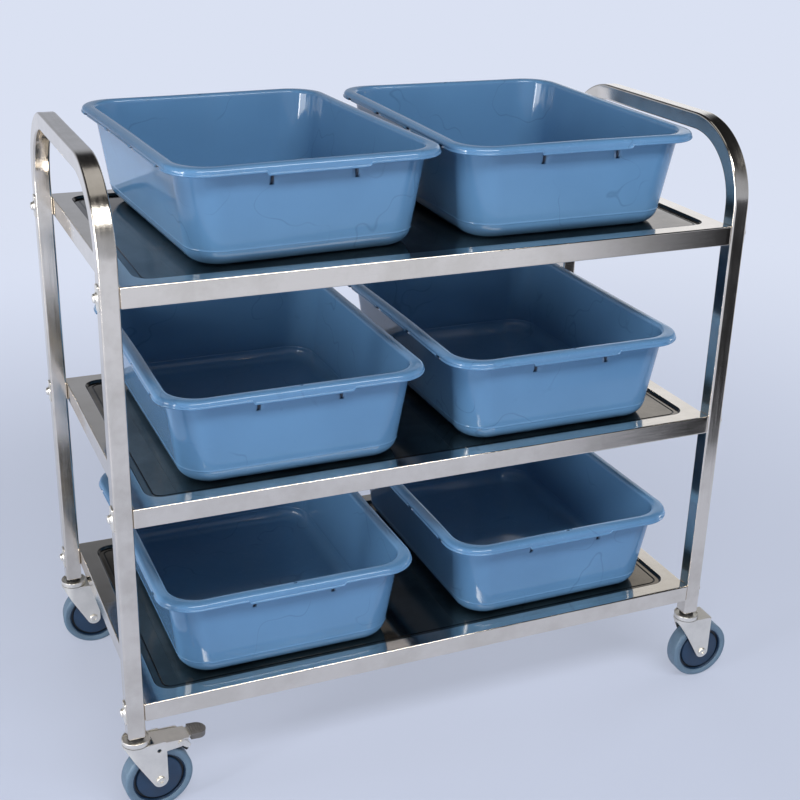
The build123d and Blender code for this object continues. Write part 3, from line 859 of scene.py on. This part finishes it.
    def build(self) -> bpy.types.Object:
        """Lay the skin, sink the slots, bow the walls and set the tub on its shelf.

        A side bows in by one less the square of the place along it, and ripples by a sum of sines of the
        angle round the tub. Both grow with a power of the height.

        Returns:
            The tub, dressed and riding on its body.
        """
        outline = self.outline()
        sizes, z, lip, wear, outer = self.profile()
        at_end = np.abs(outline.out[:, 1]) > SQUARE_ON
        at_side = np.abs(outline.out[:, 0]) > SQUARE_ON
        rim_x = outline.core[:, 0] * (self.width / 2 - self.rim_corner)
        grip = window(rim_x, 0.0, self.grip_width, self.grip_edge) * at_end
        heights = z[:, None] - self.grip_drop * lip[:, None] * grip[None]
        skin = outline.rows(sizes, heights)
        sunk = self.slots(skin, at_end) * outer[:, None]
        skin[..., :2] -= self.slot_depth * sunk[..., None] * outline.out[None]
        notch = self.notches(outline.core[:, 1]) * at_side
        bite = np.clip(self.notch_depth - self.width / 2 + sizes[:, 0], 0.0, None) * (lip >= 1.0)
        skin[..., :2] -= (bite[:, None] * notch[None])[..., None] * outline.out[None]
        notch_shade = (bite > 0.0)[:, None] * notch[None]
        dimple = self.gate(skin) * at_end[None] * (z > self.height - SAME_ROW)[:, None]
        skin[..., 2] -= self.gate_depth * dimple
        along = np.where(at_end, outline.core[:, 0], outline.core[:, 1])
        sag = self.bow * (1 - along ** 2) * (at_end | at_side)
        rise = np.clip(z / self.height, 0.0, 1.0)[:, None] ** self.bow_power
        phase = np.random.default_rng(self.seed).uniform(0.0, FULL_TURN, len(self.ripple_waves))
        angle = np.arctan2(outline.core[:, 1], outline.core[:, 0])
        wave = sum(
            share * np.sin(count * angle + start)
            for (count, share), start in zip(self.ripple_waves, phase))
        skin[..., :2] -= (rise * (sag - self.ripple * wave)[None])[..., None] * outline.out[None]
        # Painted shade: the shade mask darkens the sunk slots, the lip's notches and the gate dimple.
        marks = {
            "wear": np.broadcast_to(wear[:, None], sunk.shape),
            "shade_and_scratch": np.maximum(np.maximum(sunk, notch_shade), self.gate_shade * dimple),
        }
        piece = lay_grid(self.node + "_skin", self.place(skin), marks=marks)
        fit_out(piece, self.node, self.node, "blue_plastic", Finish.POLYPROPYLENE)
        return piece

    def gate(self, skin: np.ndarray) -> np.ndarray:
        """Round dimple at the middle of each short side, near the rim's inner edge.

        Args:
            skin: Points of the tub about the middle of its base.

        Returns:
            Share of the dimple's depth at every point: a window of the distance from its middle.
        """
        middle = self.length / 2 - self.rim_width + self.gate_radius + self.gate_inset
        away = np.hypot(skin[..., 0], np.abs(skin[..., 1]) - middle)
        return window(away, 0.0, self.gate_flat, self.gate_edge)

    def notches(self, share: np.ndarray) -> np.ndarray:
        """How far every column of a long side lies in a notch of the lip, from its share of the side."""
        y = np.abs(share * (self.length / 2 - self.rim_corner))
        return sum(window(y, place, self.notch_length, self.slot_edge) for place in self.notch_places)

    def slots(self, skin: np.ndarray, at_end: np.ndarray) -> np.ndarray:
        """Find the points in the grips' slots: a window along X times a window of the height.

        Args:
            skin: Points of the tub about the middle of its base.
            at_end: Which columns lie on the short sides.

        Returns:
            How far every point is sunk, from 0 to 1.
        """
        x, _, z = np.moveaxis(skin, -1, 0)
        grip = window(z, self.slot_level, self.slot_height, self.slot_edge) * at_end[None]
        places = (-self.slot_place, self.slot_place)
        return grip * sum(window(x, place, self.slot_width, self.slot_edge) for place in places)

    def place(self, skin: np.ndarray) -> np.ndarray:
        """Lean the tub on the border if its back stands there, turn it and set it on the shelf.

        The lean's sine is the border's rise over the distance from the tub's front to the border.

        Args:
            skin: Points of the tub about the middle of its base.

        Returns:
            The points where the tub stands.
        """
        points = skin.copy()
        if self.on_border:
            front = (self.base_length - self.base_roll) / 2
            lean = math.asin(self.border_rise / (self.recess_back - self.y + front))
            y = points[..., 1] + front
            z = points[..., 2].copy()
            points[..., 1] = y * math.cos(lean) - z * math.sin(lean) - front
            points[..., 2] = y * math.sin(lean) + z * math.cos(lean)
        turn = math.radians(self.turn)
        x, y = points[..., 0].copy(), points[..., 1].copy()
        points[..., 0] = x * math.cos(turn) - y * math.sin(turn) + self.x
        points[..., 1] = x * math.sin(turn) + y * math.cos(turn) + self.y
        points[..., 2] += SHELF_LEVELS[self.tier] - Shelf.recess
        return points


@dataclass
class Shelf:
    """One pressed shelf: sunk floor with a crease round it, flat border, folded aprons and a hem."""

    tier: str
    level: float
    seed: int
    half_length: float = 450.0
    half_width: float = 247.0
    corner: float = 3.0
    least_corner: float = 0.4
    border: float = 25.0
    recess: float = 4.0
    slope: float = 3.0
    recess_corner: float = 24.0
    floor_fold: float = 1.4
    top_fold: float = 0.9
    edge_fold: float = 2.0
    hem_fold: float = 1.2
    hem_edge: float = 0.1
    crease_place: float = 6.0
    crease_width: float = 3.0
    crease_depth: float = 0.9
    apron: float = 28.0
    hem: float = 10.0
    sheet: float = 1.2
    support: float = 0.3
    dip: float = 0.22
    dip_waves: tuple[float, float, float, float] = (71.0, 93.0, 37.0, 51.0)
    dip_minor: float = 0.4
    dip_fade: tuple[float, float] = (90.0, 80.0)
    flat_lean: float = 0.97
    fold_lean: float = 0.3
    floor_rows: int = 20
    border_rows: int = 4
    apron_rows: int = 5
    under_rows: int = 6
    fold_steps: int = 5
    bend_steps: int = 6
    columns: tuple[int, int, int] = (44, 24, 8)

    def outer(self, inset: np.ndarray) -> np.ndarray:
        """Half sizes and corner of the apron's outer face, moved inwards."""
        corner = np.maximum(self.corner - inset, self.least_corner)
        return np.stack([self.half_length - inset, self.half_width - inset, corner], axis=1)

    def inner(self, inset: np.ndarray) -> np.ndarray:
        """Half sizes and corner of the recess wall, moved inwards."""
        return np.stack([
            self.half_length - self.border - inset, self.half_width - self.border - inset,
            self.recess_corner - inset], axis=1)

    def profile(self) -> tuple[np.ndarray, np.ndarray]:
        """Rows from the middle of the floor, out over the border, down the apron and back underneath.

        Folds are arcs: the radius times one less the sine or cosine of the turn. Extra rows, a support
        distance from each fold, keep the flats flat.

        Returns:
            Half sizes and corner of every row, and its height from the border's top.
        """
        turn = quarter(self.fold_steps)
        fold, lip, edge, hem = self.floor_fold, self.top_fold, self.edge_fold, self.hem_fold
        near, sheet = self.support, self.sheet
        tilt = math.atan2(self.recess, self.slope)
        bend = tilt * np.linspace(0.0, 1.0, self.bend_steps + 1)
        # Upper side: floor, crease, recess wall and border.
        foot = self.slope + fold * math.tan(tilt / 2)
        crease = foot + self.crease_place
        floor = self.inner(np.array([crease + self.crease_width + near]))
        share = np.linspace(0.0, 1.0, self.floor_rows)
        rows = [(floor * share[:, None], np.full_like(share, -self.recess))]
        groove = crease + self.crease_width * np.array([1.0, 0.5, 0.0])
        rows.append((self.inner(groove), np.array([0.0, -self.crease_depth, 0.0]) - self.recess))
        flat = foot + np.array([self.crease_place - near, near, 0.0])
        rows.append((self.inner(flat), np.full_like(flat, -self.recess)))
        low_in = self.slope + fold * (math.tan(tilt / 2) - np.sin(bend))
        rows.append((self.inner(low_in), -self.recess + fold * (1 - np.cos(bend))))
        high_in = -lip * (math.tan(tilt / 2) - np.sin(bend[::-1]))
        rows.append((self.inner(high_in), -lip * (1 - np.cos(bend[::-1]))))
        start, end = self.inner(np.array([-lip * math.tan(tilt / 2)])), self.outer(np.array([edge]))
        share = flat_run(self.border_rows, edge=0.03)
        rows.append((bridge(start, end, share), np.zeros_like(share)))
        # Apron: rounded edge, face, folded hem and its inner side.
        rows.append((self.outer(edge * (1 - np.sin(turn))), -edge * (1 - np.cos(turn))))
        down = -edge + (hem + edge - self.apron) * flat_run(self.apron_rows, edge=0.03)
        rows.append((self.outer(np.zeros_like(down)), down))
        rows.append((self.outer(hem * (1 - np.cos(turn))), hem - self.apron - hem * np.sin(turn)))
        tuck = np.array([hem + near, self.hem - near, self.hem, self.hem, self.hem - near, sheet + near])
        rise = np.array([0.0, 0.0, self.hem_edge, sheet - self.hem_edge, sheet, sheet])
        rows.append((self.outer(tuck), rise - self.apron))
        back = np.array([sheet + near - self.apron, -sheet - near])
        rows.append((self.outer(np.full_like(back, sheet)), back))
        # Underside: border, recess wall and floor.
        wall = sheet * math.hypot(self.slope, self.recess) / self.recess
        gutter = np.array([-wall - near, -wall, self.slope - wall, self.slope - wall + near])
        drop = np.array([0.0, -near, -self.recess + near, -self.recess])
        rows.append((self.inner(gutter), drop - sheet))
        share = np.linspace(0.99, 0.0, self.under_rows)
        rows.append((floor * share[:, None], np.full_like(share, -self.recess - sheet)))
        sizes, heights = (np.concatenate(group) for group in zip(*rows))
        keep = distinct(sizes, heights)
        return sizes[keep], heights[keep]

    def build(self) -> bpy.types.Object:
        """Lay the pressed sheet with a slow dip in its floor, and dress floor and border apart: floor and
        fold are painted dark, as painted shade.

        The dip is a sine along X times a cosine along Y, plus a smaller slanted sine, faded out towards
        the border.

        Returns:
            The shelf, riding on the frame.
        """
        sizes, z = self.profile()
        along, across, corner = self.columns
        sheet = Outline.make(side_run(along), side_run(across), corner).rows(sizes, z)
        x, y = sheet[..., 0], sheet[..., 1]
        phase = np.random.default_rng(self.seed).uniform(0.0, FULL_TURN, 3)
        long_x, long_y, short_x, short_y = self.dip_waves
        wave = np.sin(x / long_x + phase[0]) * np.cos(y / long_y + phase[1])
        wave = wave + self.dip_minor * np.sin(x / short_x + y / short_y + phase[2])
        inside = soft_step(self.half_length - np.abs(x), self.border, self.dip_fade[0])
        inside = inside * soft_step(self.half_width - np.abs(y), self.border, self.dip_fade[1])
        sheet[..., 2] += self.level + self.dip * wave * inside
        name = self.tier + "_shelf"
        piece = lay_grid(name + "_sheet", sheet)
        # Second and third finishes paint shade: a dark floor and a near-black fold.
        finishes = (Finish.BUFFED_SHEET, Finish.SHELF_FLOOR_PAINTED_DARK, Finish.SHELF_FOLD_PAINTED_SHADE)
        fit_out(piece, name, "frame", "polished_stainless", *finishes)
        self.split_floor(piece)
        return piece

    def split_floor(self, piece: bpy.types.Object) -> None:
        """Put the sunk floor's upper faces in the second material slot, painted dark as a painted
        reflection of shade, and its folds in the third, painted as shade.

        A face is floor or fold by the share of its normal that points up.

        Args:
            piece: The shelf's mesh object.
        """
        faces = piece.data.polygons
        middle = np.zeros(len(faces) * 3, np.float32)
        up = np.zeros(len(faces) * 3, np.float32)
        faces.foreach_get("center", middle)
        faces.foreach_get("normal", up)
        x, y, z = middle.reshape(-1, 3).T / MM
        lean = up.reshape(-1, 3)[:, 2]
        half_x, half_y = self.half_length - self.border, self.half_width - self.border
        inside = (np.abs(x) < half_x) & (np.abs(y) < half_y)
        low = self.level - self.recess
        dark_floor_faces = inside & (z < low + self.recess / 2) & (lean >= self.flat_lean)
        sloping = (lean > self.fold_lean) & (lean < self.flat_lean)
        fold_shade_faces = inside & (z > low - self.crease_depth) & sloping
        faces.foreach_set("material_index", dark_floor_faces.astype(np.int32) + 2 * fold_shade_faces.astype(np.int32))


@dataclass
class EndFrame:
    """One square tube bent into two legs and the push handle between them."""

    side: str
    x: float
    leg_y: float = LEG_Y
    leg_end: float = 127.0
    rail: float = 919.5
    bend: float = 110.0
    half: float = 12.5
    corner: float = 3.2
    flattening: float = 0.7
    outer_share: float = 0.9
    bend_steps: int = 32
    leg_rows: int = 14
    rail_rows: int = 6
    columns: tuple[int, int] = (5, 5)

    def path(self) -> tuple[np.ndarray, np.ndarray, np.ndarray]:
        """Centre line in YZ: up the front leg, round a bend, along the handle and down the back leg.

        A bend is a quarter circle, and how much a point lies in it is the sine of twice its turn.

        Returns:
            Points, outward normals and how much each point lies in a bend.
        """
        low, high = self.leg_end, self.rail - self.bend
        reach = self.leg_y - self.bend
        turn = quarter(self.bend_steps)
        bent = np.sin(2 * turn)
        aside, above = self.bend * np.cos(turn), self.bend * np.sin(turn)
        rise = low + (high - low) * flat_run(self.leg_rows, edge=0.002)
        across = -reach + 2 * reach * flat_run(self.rail_rows, edge=0.01)
        pieces = [
            (np.full_like(rise, -self.leg_y), rise, np.full_like(rise, np.pi), 0 * rise),
            (-reach - aside, high + above, np.pi - turn, bent),
            (across, np.full_like(across, self.rail), np.full_like(across, np.pi / 2), 0 * across),
            (reach + above, high + aside, np.pi / 2 - turn, bent),
            (np.full_like(rise, self.leg_y), rise[::-1], np.zeros_like(rise), 0 * rise),
        ]
        y, z, angle, bent = (np.concatenate(group) for group in zip(*pieces))
        keep = np.concatenate([[True], np.hypot(np.diff(y), np.diff(z)) > SAME_POINT])
        points = np.stack([y, z], axis=1)[keep]
        normals = np.stack([np.cos(angle), np.sin(angle)], axis=1)[keep]
        return points, normals, bent[keep]

    def build(self) -> bpy.types.Object:
        """Carry the rounded square section along the path, and close both ends.

        In the bends the outer wall flattens by one less the square of the place across it.

        Returns:
            The end frame, riding on the frame body.
        """
        points, normals, bent = self.path()
        wide, corner = self.columns
        outline = Outline.make(side_run(wide), side_run(wide), corner)
        section = outline.rows(np.array([[self.half, self.half, self.corner]]), np.zeros(1))[0]
        across, out = section[:, 0], section[:, 1]
        dent = self.flattening * (1 - (across / self.half) ** 2) * (out > self.half * self.outer_share)
        reach = out[None] - bent[:, None] * dent[None]
        tube = np.empty((len(points), len(across), 3))
        tube[..., 0] = self.x + across[None]
        tube[..., 1:] = points[:, None] + reach[..., None] * normals[:, None]
        ends = [np.repeat(tube[row].mean(axis=0)[None, None], len(across), axis=1) for row in (0, -1)]
        tube = np.concatenate([ends[0], tube, ends[1]])
        name = self.side + "_end_frame"
        piece = lay_grid(name + "_tube", tube)
        fit_out(piece, name, "frame", "polished_stainless", Finish.BUFFED_TUBE)
        return piece


@dataclass
class Castor:
    """One swivel castor: CAD fork and fixings in zinc, with a turned tyre and wheel centre."""

    corner: str
    x: float
    y: float
    heading: float
    braked: bool
    trail: float = 28.0
    radius: float = 50.0
    tyre_width: float = 26.0
    tyre_edge: tuple[tuple[float, float], ...] = ((0.1, 1.2), (0.6, 0.3))
    shoulder: float = 4.0
    hub_radius: float = 39.0
    bore: float = 6.05
    groove_inset: float = 3.4
    groove_width: float = 3.4
    groove_edge: float = 0.4
    groove_face: float = 10.3
    wear: float = 0.15
    tread_wear: float = 0.6
    steps: int = 96
    shoulder_steps: int = 7
    tread_steps: int = 8
    zinc: tuple[str, ...] = ("fork", "axle", "axle_nut", "bush")
    brake_zinc: tuple[str, ...] = ("brake_pin", "brake_lever")

    def turned(self, name: str, radius: np.ndarray, across: np.ndarray) -> bpy.types.Object:
        """Turn a closed profile about the axle, and set it where the castor trails.

        A point lies its radius times the cosine ahead of the axle, and times the sine above it.

        Args:
            name: Name of the piece.
            radius: Distance of every profile point from the axle.
            across: Place of every profile point along the axle.

        Returns:
            The new object.
        """
        angle = np.linspace(0.0, FULL_TURN, self.steps, endpoint=False)[:, None]
        ahead = self.trail + radius[None] * np.cos(angle)
        z = self.radius + radius[None] * np.sin(angle)
        side = np.broadcast_to(across[None], ahead.shape)
        turn = math.radians(self.heading)
        x = self.x + ahead * math.cos(turn) - side * math.sin(turn)
        y = self.y + ahead * math.sin(turn) + side * math.cos(turn)
        tread = soft_step(radius, self.radius - self.shoulder, self.radius)
        # Painted shade: the groove ring near the hub's rim gets the shade mask.
        groove = window(radius, self.hub_radius - self.groove_inset, self.groove_width, self.groove_edge)
        groove = groove * (np.abs(across) < self.groove_face)
        marks = {
            "wear": np.broadcast_to(self.wear + self.tread_wear * tread[None], x.shape),
            "shade_and_scratch": np.broadcast_to(groove[None], x.shape),
        }
        return lay_grid(name, np.stack([x, y, z], axis=-1), closed_rows=True, marks=marks)

    def tyre_profile(self) -> tuple[np.ndarray, np.ndarray]:
        """Closed loop of the tyre: bore, side, shoulder in a quarter circle, flat tread, and back.

        Returns:
            Distance from the axle and place along it of every point.
        """
        half, roll = self.tyre_width / 2, self.shoulder
        turn = quarter(self.shoulder_steps)
        tread = np.linspace(1.0, -1.0, self.tread_steps + 1)[1:-1] * (half - roll)
        edge_out, edge_in = np.array(self.tyre_edge).T
        radius = np.concatenate([self.hub_radius + edge_out, self.radius - roll + roll * np.sin(turn)])
        across = np.concatenate([half - edge_in, half - roll + roll * np.cos(turn)])
        flat = np.full_like(tread, self.radius)
        return (
            np.concatenate([radius, flat, radius[::-1]]), np.concatenate([across, tread, -across[::-1]]))

    def hub_profile(self) -> tuple[np.ndarray, np.ndarray]:
        """Closed loop of the wheel centre: straight runs over boss, dished web, groove and rim, mirrored.

        Returns:
            Distance from the axle and place along it of every point.
        """
        rim = self.hub_radius
        boss = [
            (self.bore, 14.2), (self.bore, 14.5), (10.6, 14.5), (11.0, 14.1), (11.0, 9.4), (11.6, 9.0)]
        web = [(rim - 6.2, 10.4), (rim - 5.6, 10.1)]
        groove = [(rim - 5.3, 6.0), (rim - 4.9, 5.7), (rim - 1.9, 5.7), (rim - 1.6, 6.0)]
        edge = [(rim - 1.4, 11.2), (rim - 1.1, 11.5), (rim - 0.4, 11.5), (rim - 0.1, 11.1)]
        radius, across = np.array(boss + web + groove + edge).T
        return np.concatenate([radius, radius[::-1]]), np.concatenate([across, -across[::-1]])

    def build(self) -> None:
        """Make the tyre and wheel centre, and dress the CAD pieces."""
        wheel = self.corner + "_wheel"
        tyre = self.turned(self.corner + "_tyre_tread", *self.tyre_profile())
        hub = self.turned(self.corner + "_hub_moulding", *self.hub_profile())
        fit_out(tyre, self.corner + "_tyre", wheel, "grey_rubber", Finish.TYRE_RUBBER)
        fit_out(hub, self.corner + "_hub", wheel, "navy_plastic", Finish.HUB_NYLON)
        for name in self.zinc + (self.brake_zinc if self.braked else ()):
            dress(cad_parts[f"{self.corner}_{name}"], Finish.ZINC_PLATE)
        if self.braked:
            dress(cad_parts[self.corner + "_brake_shoe"], Finish.BLACK_RUBBER)
            dress(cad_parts[self.corner + "_brake_pad"], Finish.PEDAL_PLASTIC)


@dataclass
class FrameFixings:
    """Small CAD pieces that stay on the frame: stiffeners, bolts, washers, nuts, plugs and races."""

    stainless: tuple[str, ...] = (
        "top_shelf_stiffener", "middle_shelf_stiffener", "bottom_shelf_stiffener")
    zinc: tuple[str, ...] = (
        "shelf_bolts", "shelf_washers", "shelf_nuts", "castor_cups", "castor_stems", "castor_balls")
    plastic: tuple[str, ...] = ("leg_plugs",)

    def build(self) -> None:
        """Give each node the finish of its own metal or plastic."""
        for names, finish in (
            (self.stainless, Finish.BUFFED_SHEET), (self.zinc, Finish.ZINC_PLATE),
            (self.plastic, Finish.BLACK_PLASTIC),
        ):
            for name in names:
                dress(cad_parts[name], finish)


@dataclass(frozen=True)
class Lamp:
    """Large soft area lamp turned towards a point of the trolley; steel doesn't mirror a fill lamp."""

    name: str
    place: tuple[float, float, float]
    aim: tuple[float, float, float]
    size: tuple[float, float]
    power: float
    mirrored: bool = True

    def hang(self) -> None:
        """Make the lamp and turn its face from its place towards its aim."""
        light = bpy.data.lights.new(self.name + "_lamp", "AREA")
        light.shape = "RECTANGLE"
        light.size, light.size_y = self.size[0] * MM, self.size[1] * MM
        light.energy = self.power
        holder = bpy.data.objects.new(self.name + "_lamp", light)
        bpy.context.scene.collection.objects.link(holder)
        holder.location = Vector(self.place) * MM
        holder.rotation_mode = "QUATERNION"
        holder.rotation_quaternion = (Vector(self.aim) - Vector(self.place)).to_track_quat("-Z", "Y")
        holder.visible_camera = False
        holder.visible_glossy = self.mirrored


@dataclass
class Studio:
    """Pale floor, soft lamps and the camera where the photograph was taken from."""

    eye: tuple[float, float, float] = (-757.3, -1794.5, 1292.3)
    aim: tuple[float, float, float] = (34.2, 0.0, 473.8)
    roll: float = 1.51
    lens: float = 59.96
    sensor: float = 36.0
    floor_size: float = 60000.0
    surround: tuple[tuple[float, str], ...] = (
        (0.0, "#B4BAC8"), (0.36, "#A0A5AF"), (0.56, "#1E1F22"), (1.0, "#26272A"))
    flag_x: tuple[float, float] = (420.0, 1700.0)
    flag_y: float = -900.0
    flag_z: tuple[float, float] = (60.0, 820.0)
    lamps: tuple[Lamp, ...] = (
        Lamp(
            "front", place=(0.0, -2250.0, 3150.0), aim=(0.0, 0.0, 500.0), size=(3200.0, 850.0),
            power=92.0),
        Lamp(
            "front_low", place=(0.0, -2600.0, 260.0), aim=(0.0, 0.0, 500.0), size=(3200.0, 420.0),
            power=17.0, mirrored=False),
        Lamp(
            "left", place=(-2700.0, -500.0, 900.0), aim=(-300.0, 0.0, 450.0), size=(1500.0, 1300.0),
            power=40.0),
        Lamp(
            "left_strip", place=(-2400.0, -1000.0, 1000.0), aim=(-200.0, -100.0, 600.0),
            size=(160.0, 1700.0), power=14.0),
        Lamp(
            "top", place=(100.0, 0.0, 3200.0), aim=(0.0, 0.0, 0.0), size=(1800.0, 1800.0),
            power=5.0),
        Lamp(
            "back_right", place=(2500.0, 2500.0, 1500.0), aim=(200.0, 0.0, 300.0), size=(1500.0, 1500.0),
            power=4.0),
        Lamp(
            "back", place=(300.0, 3000.0, 800.0), aim=(0.0, 0.0, 450.0), size=(2600.0, 700.0),
            power=42.0, mirrored=False),
        Lamp(
            "right", place=(3000.0, 400.0, 900.0), aim=(0.0, 0.0, 450.0), size=(1300.0, 1200.0),
            power=30.0, mirrored=False),
    )

    def build(self) -> None:
        """Lay the floor, stand the flag, hang the lamps, set the sky and place the camera."""
        self.lay_floor()
        self.stand_flag()
        for lamp in self.lamps:
            lamp.hang()
        self.set_sky()
        self.place_camera()

    def flat_sheet(self, name: str, corners: tuple[tuple, ...], finish: Finish) -> bpy.types.Object:
        """Make one flat sheet of the studio.

        Args:
            name: Name of the sheet.
            corners: Its four corners in order, in millimetres.
            finish: What it is dressed in.

        Returns:
            The new object.
        """
        mesh = bpy.data.meshes.new(name)
        mesh.from_pydata((np.array(corners) * MM).tolist(), [], [(0, 1, 2, 3)])
        sheet = bpy.data.objects.new(name, mesh)
        bpy.context.scene.collection.objects.link(sheet)
        dress(sheet, finish)
        return sheet

    def lay_floor(self) -> None:
        """One large flat sheet at floor height."""
        half = self.floor_size / 2
        corners = ((-half, -half, 0.0), (half, -half, 0.0), (half, half, 0.0), (-half, half, 0.0))
        floor = self.flat_sheet("studio_floor", corners, Finish.STUDIO_FLOOR)

    def stand_flag(self) -> None:
        """Upright black cloth in front of the right end, which only the polished metal mirrors."""
        (left, right), y, (low, high) = self.flag_x, self.flag_y, self.flag_z
        corners = ((left, y, low), (right, y, low), (right, y, high), (left, y, high))
        flag = self.flat_sheet("studio_flag", corners, Finish.FLAG_CLOTH)
        flag.visible_camera = False
        flag.visible_diffuse = False
        flag.visible_shadow = False

    def set_sky(self) -> None:
        """Plain studio surround: pale walls up to about thirty degrees, a dim ceiling above."""
        world = bpy.data.worlds.new("studio_surround")
        bpy.context.scene.world = world
        world.use_nodes = True
        tree = world.node_tree
        way = add(tree, "TexCoord").outputs["Generated"]
        height = add(tree, "SeparateXYZ", {"Vector": way}).outputs["Z"]
        levels = tuple((place, linear(colour)) for place, colour in self.surround)
        shade = add(tree, "ValToRGB", {"Fac": height}, marks=levels)
        background = tree.nodes["Background"]
        tree.links.new(shade.outputs["Color"], background.inputs["Color"])
        background.inputs["Strength"].default_value = 1.0

    def place_camera(self) -> None:
        """Camera at the fitted eye, turned about its line of sight by the photograph's slight roll."""
        eye, aim = Vector(self.eye) * MM, Vector(self.aim) * MM
        ahead = (aim - eye).normalized()
        level = ahead.cross(Vector((0, 0, 1))).normalized()
        upright = level.cross(ahead)
        roll = math.radians(self.roll)
        right = level * math.cos(roll) + upright * math.sin(roll)
        up = upright * math.cos(roll) - level * math.sin(roll)
        data = bpy.data.cameras.new("photo_camera")
        data.lens = self.lens
        data.sensor_width = self.sensor
        camera = bpy.data.objects.new("photo_camera", data)
        bpy.context.scene.collection.objects.link(camera)
        camera.matrix_world = Matrix((
            (right.x, up.x, -ahead.x, eye.x), (right.y, up.y, -ahead.y, eye.y),
            (right.z, up.z, -ahead.z, eye.z), (0, 0, 0, 1)))
        bpy.context.scene.camera = camera


END_FRAMES = (EndFrame("left", x=-LEG_X), EndFrame("right", x=LEG_X))
SHELVES = tuple(Shelf(tier, level, seed) for seed, (tier, level) in enumerate(SHELF_LEVELS.items()))
TUBS = (
    BusTub("top", "left", x=-195.0, y=25.0, seed=0, turn=3.5, on_border=True),
    BusTub("top", "right", x=213.0, y=25.0, seed=1, on_border=True),
    BusTub("middle", "left", x=-208.0, y=8.0, seed=2),
    BusTub("middle", "right", x=213.0, y=8.0, seed=3),
    BusTub("bottom", "left", x=-219.0, y=8.0, seed=4),
    BusTub("bottom", "right", x=228.0, y=8.0, seed=5),
)
CASTORS = (
    Castor("front_left", x=-LEG_X, y=-LEG_Y, heading=4.0, braked=True),
    Castor("front_right", x=LEG_X, y=-LEG_Y, heading=-2.0, braked=False),
    Castor("rear_left", x=-LEG_X, y=LEG_Y, heading=-5.0, braked=False),
    Castor("rear_right", x=LEG_X, y=LEG_Y, heading=8.0, braked=True),
)


def main() -> None:
    """Build every finish and sub-assembly in order, then the studio."""
    logging.basicConfig(level=logging.INFO, format="%(name)s %(message)s")
    for made in (*FINISHES, *END_FRAMES, *SHELVES, *TUBS, *CASTORS, FrameFixings(), Studio()):
        made.build()
    bpy.context.scene.view_settings.view_transform = "Standard"


if __name__ == "__main__":
    main()
